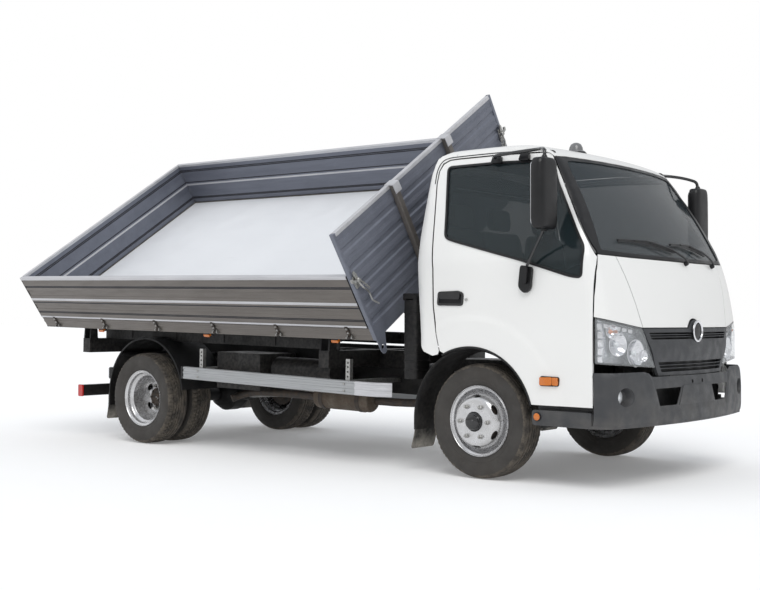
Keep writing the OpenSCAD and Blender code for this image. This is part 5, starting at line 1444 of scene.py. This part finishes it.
def bump_at(w, z):
    # Plan line of the bumper, set in by the section's depth at z and by the middle's shallow recess
    s, a = (1 if w >= 0 else -1), abs(w)
    u, v = (min(max(q, 0), 1) for q in ((0.505 + 0.4 * (z - 0.5) - a) / 0.022 + 0.5,
        (z - 0.492) / 0.02 + 0.5))
    d = bz(z) + 0.008 * u * u * (3 - 2 * u) * v * v * (3 - 2 * v)
    r = 0.115
    wd = 0.994 - d * 0.5
    yt = wd - r + r * 0.2
    phi = math.atan(2 * 0.115 * yt)
    xt = 1.132 - d - 0.115 * yt * yt
    cx, cy = xt - r * math.cos(phi), yt - r * math.sin(phi)
    bend = r * (math.pi / 2 - phi)
    if a <= yt:
        return (1.132 - d - 0.115 * a * a, w, z)
    if a <= yt + bend:
        t = phi + (a - yt) / r
        return (cx + r * math.cos(t), s * (cy + r * math.sin(t)), z)
    return (cx - (a - yt - bend), s * (cy + r), z)


def bw(x, z=0.56):
    lo, hi = 0.9, 1.4
    for _ in range(30):
        m = (lo + hi) / 2
        lo, hi = (m, hi) if bump_at(m, z)[0] > x else (lo, m)
    return lo


E_W = bw(0.9085)
B_OUT = [(-E_W, 0.389), (E_W, 0.389), (E_W, 0.7325), (0.64, 0.7325), (0.60, 0.722), (0.56, 0.7000),
    (0.0, 0.6985), (-0.56, 0.7000),
         (-0.60, 0.722), (-0.64, 0.7325), (-E_W, 0.7325)]
air = rounded([(0.285, 0.514), (0.492, 0.514), (0.536, 0.624), (0.228, 0.626)], 0.012, 4)
fog = [(0.845 + 0.075 * math.cos(i * math.pi / 16),
    0.583 + 0.058 * math.sin(i * math.pi / 16)) for i in range(32)]
sq = [(0.062, 0.646), (0.086, 0.646), (0.086, 0.668), (0.062, 0.668)]
holes = [air, fog, sq]
piece("bumper_skin", skin([B_OUT] + holes + [[(-a, b) for a, b in h] for h in holes], bump_at, 0.006, 0.016),
    "chassis",
      "plastic", bevel=0.003, seg=3, nodes=["front_bumper"])
plate = skin([rounded([(-0.262, 0.510), (0.262, 0.510), (0.205, 0.636), (-0.205, 0.636)], 0.010)],
    shift(bump_at, 0.0035), 0.006,
             0.03)
piece("plate_panel", plate, "chassis", "plastic", bevel=0.003)
piece("bumper_lip", sweep([shift(bump_at, -0.004)(E_W * (2 * i / 60 - 1), 0.396) for i in range(61)],
                          rounded([(-0.010, -0.008), (0.010, -0.008), (0.010, 0.010), (-0.010, 0.010)],
                          0.005)), "chassis",
      "plastic")
piece("bumper_back", skin([[(-0.62, 0.45), (0.62, 0.45), (0.60, 0.625), (-0.60, 0.625)]],
    shift(bump_at, -0.090), 0.004, 0.05),
      "chassis", "black")
for s, word in ((1, "left"), (-1, "right")):
    place = side(s, truck)
    # The fog lamp sits at the bottom of a deep cup that runs straight back from its oval hole
    bm = bmesh.new()
    rings = []
    for k, back in ((1.06, 0.0), (1.0, 0.004), (0.93, 0.020), (0.86, 0.045), (0.80, 0.060), (0.0, 0.060)):
        ring = []
        for w, z in fog:
            a, b = 0.845 + (w - 0.845) * k, 0.583 + (z - 0.583) * k
            q = Vector(bump_at(a, b))
            ring.append(bm.verts.new((q.x * (1 - back / 0.06) + (0.985 - 0.5 * (a - 0.845)) * back / 0.06 - 0.005, q.y, b)))
        rings.append(ring)
    for a, b in zip(rings, rings[1:]):
        for i in range(32):
            j = (i + 1) % 32
            bm.faces.new((a[i], a[j], b[j], b[i]))
    bmesh.ops.remove_doubles(bm, verts=bm.verts, dist=1e-5)
    bmesh.ops.solidify(bm, geom=bm.faces[:], thickness=-0.003)
    piece(f"fog_cup_{word}", bm, "chassis", "plastic", place)
    at = (0.978, bump_at(0.845, 0.583)[1], 0.583)
    for name, prof, mat in (("lens", [(0.041, 0.0), (0.041, 0.016), (0.036, 0.025), (0.020, 0.031),
            (0.0, 0.033)], "lens"),
                            ("rim", [(0.047, 0.0), (0.047, 0.018), (0.043, 0.021), (0.041, 0.016),
                            (0.030, 0.004), (0.0, 0.002),
                                     (0.0, 0.0)], "chrome")):
        piece(f"fog_{name}_{word}", lathe(prof, 32, "x", at, closed=name == "rim"), "chassis",
            "bulb" if name == "lens" else mat, place)
    # Step below the door
    out = rounded([(0.462, 0.400), (0.470, 0.390), (0.885, 0.388), (0.8855, 0.486), (0.470, 0.488),
        (0.458, 0.470)], 0.008, 3)
    body = skin([out], lambda u, v: (u, 0.985 - 0.02 * max(0, (0.42 - v) / 0.04) ** 2 * 0.5, v), 0.006, 0.03,
        flip=True)
    tread = [prism(rounded([(0.470, 0.720), (0.880, 0.720), (0.880, 0.984), (0.470, 0.984)], 0.01), 0.478,
        0.486, "z")]
    tread += [box((0.50, 0.74 + i * 0.03, 0.485), (0.85, 0.752 + i * 0.03, 0.490)) for i in range(8)]
    tread += [box((0.463, 0.71, 0.392), (0.469, 0.982, 0.484)),
        box((0.879, 0.71, 0.392), (0.885, 0.982, 0.484)),
              box((0.590, 0.44, 0.488), (0.670, 0.76, 0.518)),
              box((0.463, 0.900, 0.484), (0.885, 0.912, 0.514))]
    piece(f"step_{word}", join(body, *tread), "chassis", "plastic", place, bevel=0.002,
          nodes=["cab_steps"] if s > 0 else ())
    eye = lathe([(0.028, 0.984), (0.028, 0.991), (0.024, 0.9935)], 32, "y", (0.500, 0, 0.445), closed=False)
    piece(f"step_eye_rim_{word}", eye, "chassis", "shell", place, bevel=0.001)
    eye = lathe([(0.0225, 0.990), (0.0225, 0.9955), (0.017, 0.998), (0.0, 0.9985)], 32, "y",
        (0.500, 0, 0.445), closed=False)
    piece(f"step_eye_{word}", eye, "chassis", "amber", place)


# ---------- wheel arches, fenders, flaps ----------
def arch(section, cx, cz, a0, a1, n, drop=None):
    # A strip with a (radius, y) section bent round a wheel, with a straight flap down to drop
    bm = bmesh.new()
    rings = []
    if drop is not None:
        for k in range(7):
            z = drop + (cz - drop) * k / 7
            rings.append([bm.verts.new((cx - r, y, z)) for r, y in section])
    for i in range(n + 1):
        a = math.radians(a0 + (a1 - a0) * i / n)
        rings.append([bm.verts.new((cx + r * math.cos(a), y, cz + r * math.sin(a))) for r, y in section])
    m = len(section)
    for p, q in zip(rings, rings[1:]):
        for i in range(m):
            j = (i + 1) % m
            bm.faces.new((p[i], p[j], q[j], q[i]))
    bm.faces.new(rings[0])
    bm.faces.new(rings[-1][::-1])
    return bm


for s, word in ((1, "left"), (-1, "right")):
    place = side(s, truck)
    sec = [(0.474, 0.700), (0.474, 0.950), (0.482, 0.962), (0.486, 0.972), (0.482, 0.972), (0.476, 0.962),
        (0.469, 0.953),
           (0.469, 0.700)]
    piece(f"front_arch_{word}", arch(sec, -0.02, 0.383, 180, 20, 44, 0.300), "chassis", "black", place,
        angle=40,
          nodes=["front_mudguards"] if s > 0 else ())
    brk = join(box((-0.514, 0.43, 0.500), (-0.4945, 0.90, 0.540)),
        box((-0.514, 0.70, 0.330), (-0.4945, 0.90, 0.501)))
    piece(f"front_arch_bracket_{word}", brk, "chassis", "black", place, bevel=0.002)
    flap = skin([rounded([(0.705, 0.165), (0.955, 0.165), (0.960, 0.480), (0.700, 0.480)], 0.02)],
                lambda u, v: (-0.500 - 0.05 * max(0, (0.34 - v) / 0.2) ** 1.5, u, v), 0.007, 0.03)
    piece(f"front_flap_{word}", flap, "chassis", "flap", place, bevel=0.002)
    sec = [(0.500, 0.540), (0.500, 0.972), (0.496, 0.984), (0.484, 0.987), (0.480, 0.984), (0.490, 0.979),
        (0.4945, 0.970),
           (0.4945, 0.548), (0.484, 0.545), (0.484, 0.540)]
    parts = [arch(sec, -3.43, 0.4035, 180, 8, 48, 0.300)]
    for x in (-3.43 - 0.33, -3.43 + 0.33):
        z = 0.4035 + math.sqrt(0.495 ** 2 - 0.33 ** 2) - 0.016
        parts.append(lathe([(0.017, 0.42), (0.017, 0.955), (0.013, 0.962)], 16, "y", (x, 0, z), closed=False))
    piece(f"rear_fender_{word}", join(*parts), "chassis", "black", place, angle=40,
        nodes=["rear_fenders"] if s > 0 else ())
    flap = skin([rounded([(0.550, 0.178), (0.978, 0.178), (0.978, 0.420), (0.550, 0.420)], 0.02)],
                lambda u, v: (-3.43 - 0.506 - 0.03 * max(0, (0.32 - v) / 0.15) ** 1.5, u, v), 0.006, 0.03)
    piece(f"rear_flap_{word}", flap, "chassis", "flap", place, bevel=0.002)
    lip = sweep([Vector(side_at(-0.02 + 0.492 * math.cos(a), 0.383 + 0.492 * math.sin(a))) + Vector((0,
        -0.004, 0))
                 for a in [math.radians(118 - 103 * i / 40) for i in range(41)]],
                rounded([(-0.006, -0.010), (0.006, -0.010), (0.006, 0.010), (-0.006, 0.010)], 0.003),
                (0, 1, 0))
    piece(f"arch_rubber_{word}", lip, f"{word}_door", "shell", place)

# ---------- side guards, set lower towards the front ----------
def guard_side(s):
    return lambda p: side(s, raked)(p) - Vector((0, 0, 0.036 + 0.009 * (p[0] + 1.8)))



GUARD_SEC = [(-0.014, -0.050), (0.008, -0.050), (0.014, -0.045), (0.015, -0.034), (0.011, -0.030),
    (0.011, -0.008),
             (0.015, -0.004), (0.015, 0.008), (0.011, 0.012), (0.011, 0.030), (0.015, 0.034), (0.014, 0.045),
             (0.008, 0.050),
             (-0.014, 0.050)]
for s, word in ((1, "left"), (-1, "right")):
    place = guard_side(s)
    run = [(-2.878 + i * 0.267, 1.025, 0.590) for i in range(8)]
    run = sweep(run, [(-a, b) for a, b in GUARD_SEC][::-1])
    piece(f"guard_{word}", run, "chassis", "guard", place, bevel=0.001,
        nodes=["side_guards"] if s > 0 else ())
    tip = sweep(smooth_path([(-1.009, 1.025, 0.590), (-0.93, 1.022, 0.590), (-0.84, 1.006, 0.590),
        (-0.785, 0.975, 0.590),
                             (-0.742, 0.938, 0.590)], 6), [(-a, b) for a, b in GUARD_SEC][::-1])
    piece(f"guard_tip_{word}", tip, "chassis", "edge_strip", place, bevel=0.001)
    tail = sweep([(-2.905, 1.024, 0.590), (-2.878, 1.024, 0.590)],
        rounded([(-0.017, -0.052), (0.018, -0.052), (0.018, 0.052),
                                                                         (-0.017, 0.052)], 0.006))
    piece(f"guard_end_{word}", tail, "chassis", "shell", place, bevel=0.003)
    for i, x in enumerate((-2.69, -1.10)):
        z1 = 0.793
        holes = [[(x + 0.007 * math.cos(k * math.pi / 6),
            z + 0.007 * math.sin(k * math.pi / 6)) for k in range(12)]
                 for z in (0.665, 0.70, 0.735, 0.765)]
        web = skin([[(x - 0.020, 0.541), (x + 0.020, 0.541), (x + 0.020, z1), (x - 0.020, z1)]] + holes,
                   lambda u, v: (u, 1.009, v), 0.004, 0.05, flip=True)
        parts = [web, box((x - 0.020, 0.975, 0.541), (x - 0.0165, 1.008, z1)),
            box((x + 0.0165, 0.975, 0.541), (x + 0.020, 1.008, z1)),
                 box((x - 0.020, 0.43, 0.606), (x + 0.020, 0.98, 0.642))]
        piece(f"guard_post_{word}_{i}", join(*parts), "chassis", "zinc", place, bevel=0.001)
        bolts = [lathe([(0.009, 1.037), (0.009, 1.042), (0.006, 1.044), (0.0, 1.044)], 6, "y", (x + e, 0, z),
            closed=False)
                 for e in (-0.01,) for z in (0.565, 0.615)]
        piece(f"guard_bolts_{word}_{i}", join(*bolts), "chassis", "zinc", place)

# ---------- muffler, pipes, underrun bar, lamps, duct ----------
can = lathe([(0.0, -1.672), (0.045, -1.670), (0.073, -1.662), (0.082, -1.650), (0.085, -1.640),
    (0.085, -1.602), (0.087, -1.598),
             (0.087, -1.588), (0.085, -1.584), (0.085, -1.196), (0.087, -1.192), (0.087, -1.182),
             (0.085, -1.178), (0.085, -1.140),
             (0.082, -1.130), (0.073, -1.118), (0.045, -1.110), (0.0, -1.108)], 48, "x", (0, -0.700, 0.430),
             closed=False)
piece("muffler_can", can, "chassis", "rust", raked, angle=30, nodes=["muffler"])
pipes = [tube([(-1.12, -0.67, 0.430), (-1.04, -0.655, 0.430), (-0.92, -0.64, 0.430), (-0.72, -0.60, 0.440),
    (-0.60, -0.50, 0.480),
               (-0.50, -0.38, 0.540)], 0.030, 20, 6),
         tube([(-1.66, -0.70, 0.430), (-1.90, -0.70, 0.430), (-2.30, -0.71, 0.425), (-2.45, -0.76, 0.400),
         (-2.50, -0.84, 0.365)], 0.030,
              20, 6)]
rails = []
for y in (-0.77, 0.77):
    web = [(y - 0.03, 0.801), (y + 0.03, 0.801), (y + 0.03, 0.807), (y - 0.024, 0.807), (y - 0.024, 0.899),
        (y + 0.03, 0.899),
           (y + 0.03, 0.905), (y - 0.03, 0.905)]
    rails.append(prism(web, -4.24, -1.37, "x"))
    rails += [box((x, y - 0.036, 0.812), (x + 0.05, y - 0.030, 0.894)) for x in (-3.9, -3.3, -2.7, -2.1,
        -1.6)]
piece("tipping_rails", join(*rails), "chassis", "black", raked, bevel=0.001)
piece("exhaust_pipes", join(*pipes), "chassis", "iron", raked)
straps = [lathe([(0.0855, x), (0.089, x), (0.089, x + 0.04), (0.0855, x + 0.04)], 40, "x", (0, -0.700, 0.430))
          for x in (-1.598, -1.228)]
straps += [box((x - 0.002, -0.72, 0.491), (x + 0.048, -0.43, 0.519)) for x in (-1.598, -1.228)]
piece("muffler_straps", join(*straps), "chassis", "iron", raked, bevel=0.001)
bar = rounded([(-4.330, 0.364), (-4.270, 0.364), (-4.270, 0.464), (-4.330, 0.464)], 0.012, 4)
parts = [prism(bar, -1.009, 1.009, "y")]
for s in (1, -1):
    a, b = sorted((s * 0.425, s * 0.442))
    parts.append(prism(rounded([(-4.31, 0.44), (-4.235, 0.44), (-4.235, 0.640), (-4.31, 0.640)], 0.012), a, b,
        "y"))
piece("underrun_beam", join(*parts), "chassis", "black", bevel=0.002, nodes=["underrun_bar"])
for s, word in ((1, "left"), (-1, "right")):
    cap = prism(rounded([(-4.333, 0.361), (-4.267, 0.361), (-4.267, 0.467), (-4.333, 0.467)], 0.014, 4),
        1.004, 1.022, "y")
    piece(f"underrun_cap_{word}", cap, "chassis", "red", side(s, truck), bevel=0.004)
    back = prism(rounded([(0.447, 0.501), (0.641, 0.501), (0.641, 0.609), (0.447, 0.609)], 0.014, 4), -4.394,
        -4.341, "x")
    piece(f"tail_lamp_box_{word}", join(back, box((-4.369, 0.428, 0.531), (-4.341, 0.448, 0.579))), "chassis",
        "shell",
          side(s, truck), bevel=0.003, nodes=["tail_lamps"] if s > 0 else ())
    for i, (a, b, mat) in enumerate(((0.452, 0.500, "red"), (0.503, 0.545, "amber"), (0.548, 0.590, "red"),
            (0.593, 0.636, "lens"))):
        lens = prism(rounded([(a, 0.508), (b, 0.508), (b, 0.602), (a, 0.602)], 0.008, 3), -4.409, -4.394, "x")
        piece(f"tail_lens_{word}_{i}", lens, "chassis", mat, side(s, truck), bevel=0.004)
duct = prism(rounded([(-0.640, -0.930), (-0.520, -0.930), (-0.520, -0.760), (-0.640, -0.760)], 0.03, 5),
    0.642, 1.205, "z")
ribs = [prism(rounded([(-0.643, -0.933), (-0.517, -0.933), (-0.517, -0.757), (-0.643, -0.757)], 0.03, 5), z,
    z + 0.012, "z")
        for z in (0.70, 0.76, 0.82, 1.10)]
hood_cap = prism(rounded([(-0.640, 1.19), (-0.520, 1.19), (-0.520, 1.225), (-0.555, 1.240), (-0.640, 1.240)],
    0.012), -0.930, -0.760,
                 "y")
elbow = tube([(-0.600, -0.80, 0.70), (-0.600, -0.70, 0.69), (-0.600, -0.55, 0.70), (-0.600, -0.44, 0.70)],
    0.050, 20, 6)
piece("intake_duct", join(duct, hood_cap, elbow, *ribs), "chassis", "black", bevel=0.003,
    nodes=["air_intake"])

# ---------- cab inside ----------
for i, (y, w) in enumerate(((0.45, 0.48), (-0.15, 0.48), (-0.62, 0.42))):
    for part, pts, wid, n in (
            ("cushion", [(-0.335, 0.990), (0.105, 0.990), (0.122, 1.035), (0.105, 1.120), (0.0, 1.128),
            (-0.25, 1.105), (-0.335, 1.10)], w, 2),
            ("back", [(-0.355, 1.145), (-0.255, 1.135), (-0.262, 1.30), (-0.292, 1.50), (-0.315, 1.690),
            (-0.350, 1.705),
                      (-0.392, 1.690), (-0.385, 1.40)], w, 2),
            ("headrest", [(-0.326, 1.705), (-0.333, 1.80), (-0.345, 1.868), (-0.385, 1.872), (-0.394, 1.80),
            (-0.392, 1.705)], 0.25, 2)):
        bm = bmesh.new()
        cols = [-0.5, -0.47, -0.32, -0.28, 0.0, 0.28, 0.32, 0.47, 0.5]
        mid = Vector((sum(q[0] for q in pts) / len(pts), sum(q[1] for q in pts) / len(pts)))
        rings = []
        for c in cols:
            k = 0.80 if abs(c) == 0.5 else 0.985 if abs(c) in (0.28, 0.32) and part != "headrest" else 1.0
            dip = 0.955 if c == 0.0 and part != "headrest" else 1.0
            rings.append([bm.verts.new((mid.x + (q[0] - mid.x) * k * dip, y + c * (wid - 0.012),
                mid.y + (q[1] - mid.y) * k * dip))
                          for q in pts])
        m = len(pts)
        for a, b in zip(rings, rings[1:]):
            for q in range(m):
                bm.faces.new((a[q], a[(q + 1) % m], b[(q + 1) % m], b[q]))
        bm.faces.new(rings[0][::-1])
        bm.faces.new(rings[-1])
        o = piece(f"seat_{part}_{i}", bm, "cab", "cloth", subdiv=n,
            nodes=["seats"] if (i, part) == (0, "cushion") else ())
dash = rounded([(0.855, 0.990), (0.856, 1.395), (0.835, 1.432), (0.700, 1.396), (0.612, 1.350),
    (0.566, 1.262), (0.592, 1.172),
                (0.642, 1.150), (0.645, 0.990)], 0.030, 5)
parts = [prism(dash, -0.888, 0.888, "y"),
         prism(rounded([(0.600, 1.330), (0.612, 1.440), (0.690, 1.462), (0.790, 1.425), (0.780, 1.380)],
         0.025), 0.24, 0.62, "y")]
parts += [prism(rounded([(y - 0.06, 1.285), (y + 0.06, 1.285), (y + 0.06, 1.340), (y - 0.06, 1.340)], 0.012),
    0.560, 0.592, "x")
          for y in (-0.75, -0.10, 0.12, 0.76)]
parts += [prism(rounded([(-0.13, 1.06), (0.16, 1.06), (0.16, 1.24), (-0.13, 1.24)], 0.02), 0.60, 0.622, "x")]
piece("dash", join(*parts), "cab", "dash", bevel=0.004, nodes=["dashboard"])
tilt = Matrix.Rotation(math.radians(-40), 3, "Y")
rim = lathe([(0.195 + 0.0145 * math.cos(a * math.pi / 8),
    0.0145 * math.sin(a * math.pi / 8)) for a in range(16)], 64, "z")
hub = lathe([(0.0, -0.02), (0.055, -0.016), (0.068, 0.0), (0.062, 0.016), (0.0, 0.022)], 40, "z",
    closed=False)
parts = [rim, hub]
for a in (0, 120, 240):
    t = math.radians(a)
    parts.append(tube([(0.05 * math.cos(t), 0.05 * math.sin(t), -0.004),
        (0.12 * math.cos(t), 0.12 * math.sin(t), -0.012),
                       (0.19 * math.cos(t), 0.19 * math.sin(t), 0.0)], 0.012, 12, 6, (0, 0.01, 1)))
parts.append(lathe([(0.025, -0.40), (0.025, -0.05), (0.045, -0.03), (0.0, -0.018)], 24, "z", closed=False))
bm = join(*parts)
for v in bm.verts:
    v.co = tilt @ v.co + Vector((0.430, 0.430, 1.290))
bmesh.ops.delete(bm, geom=[v for v in bm.verts if v.co.x > 0.80], context="VERTS")
piece("steering", bm, "cab", "shell", angle=40, nodes=["steering_wheel"])

for o in bpy.data.objects:
    if o.type == "MESH" and o.name in {s["node"] for s in frame["record"]["subparts"]}:
        slot = next(s["material_slot"] for s in frame["record"]["subparts"] if s["node"] == o.name)
        kind = {"white_paint": "white", "black_paint": "black", "grey_plastic": "plastic", "rubber": "tyre",
                "rim_silver": "rim", "bare_steel": "zinc", "board_grey": "board_out", "floor_pale": "floor",
                "guard_grey": "guard", "lamp_clear": "lens", "lamp_red": "red", "lamp_grey": "dome",
                "window_glass": "glass", "seat_cloth": "cloth", "rust_brown": "rust",
                "chrome_rod": "chrome"}[slot]
        for sl in o.material_slots:
            sl.material = M[kind]
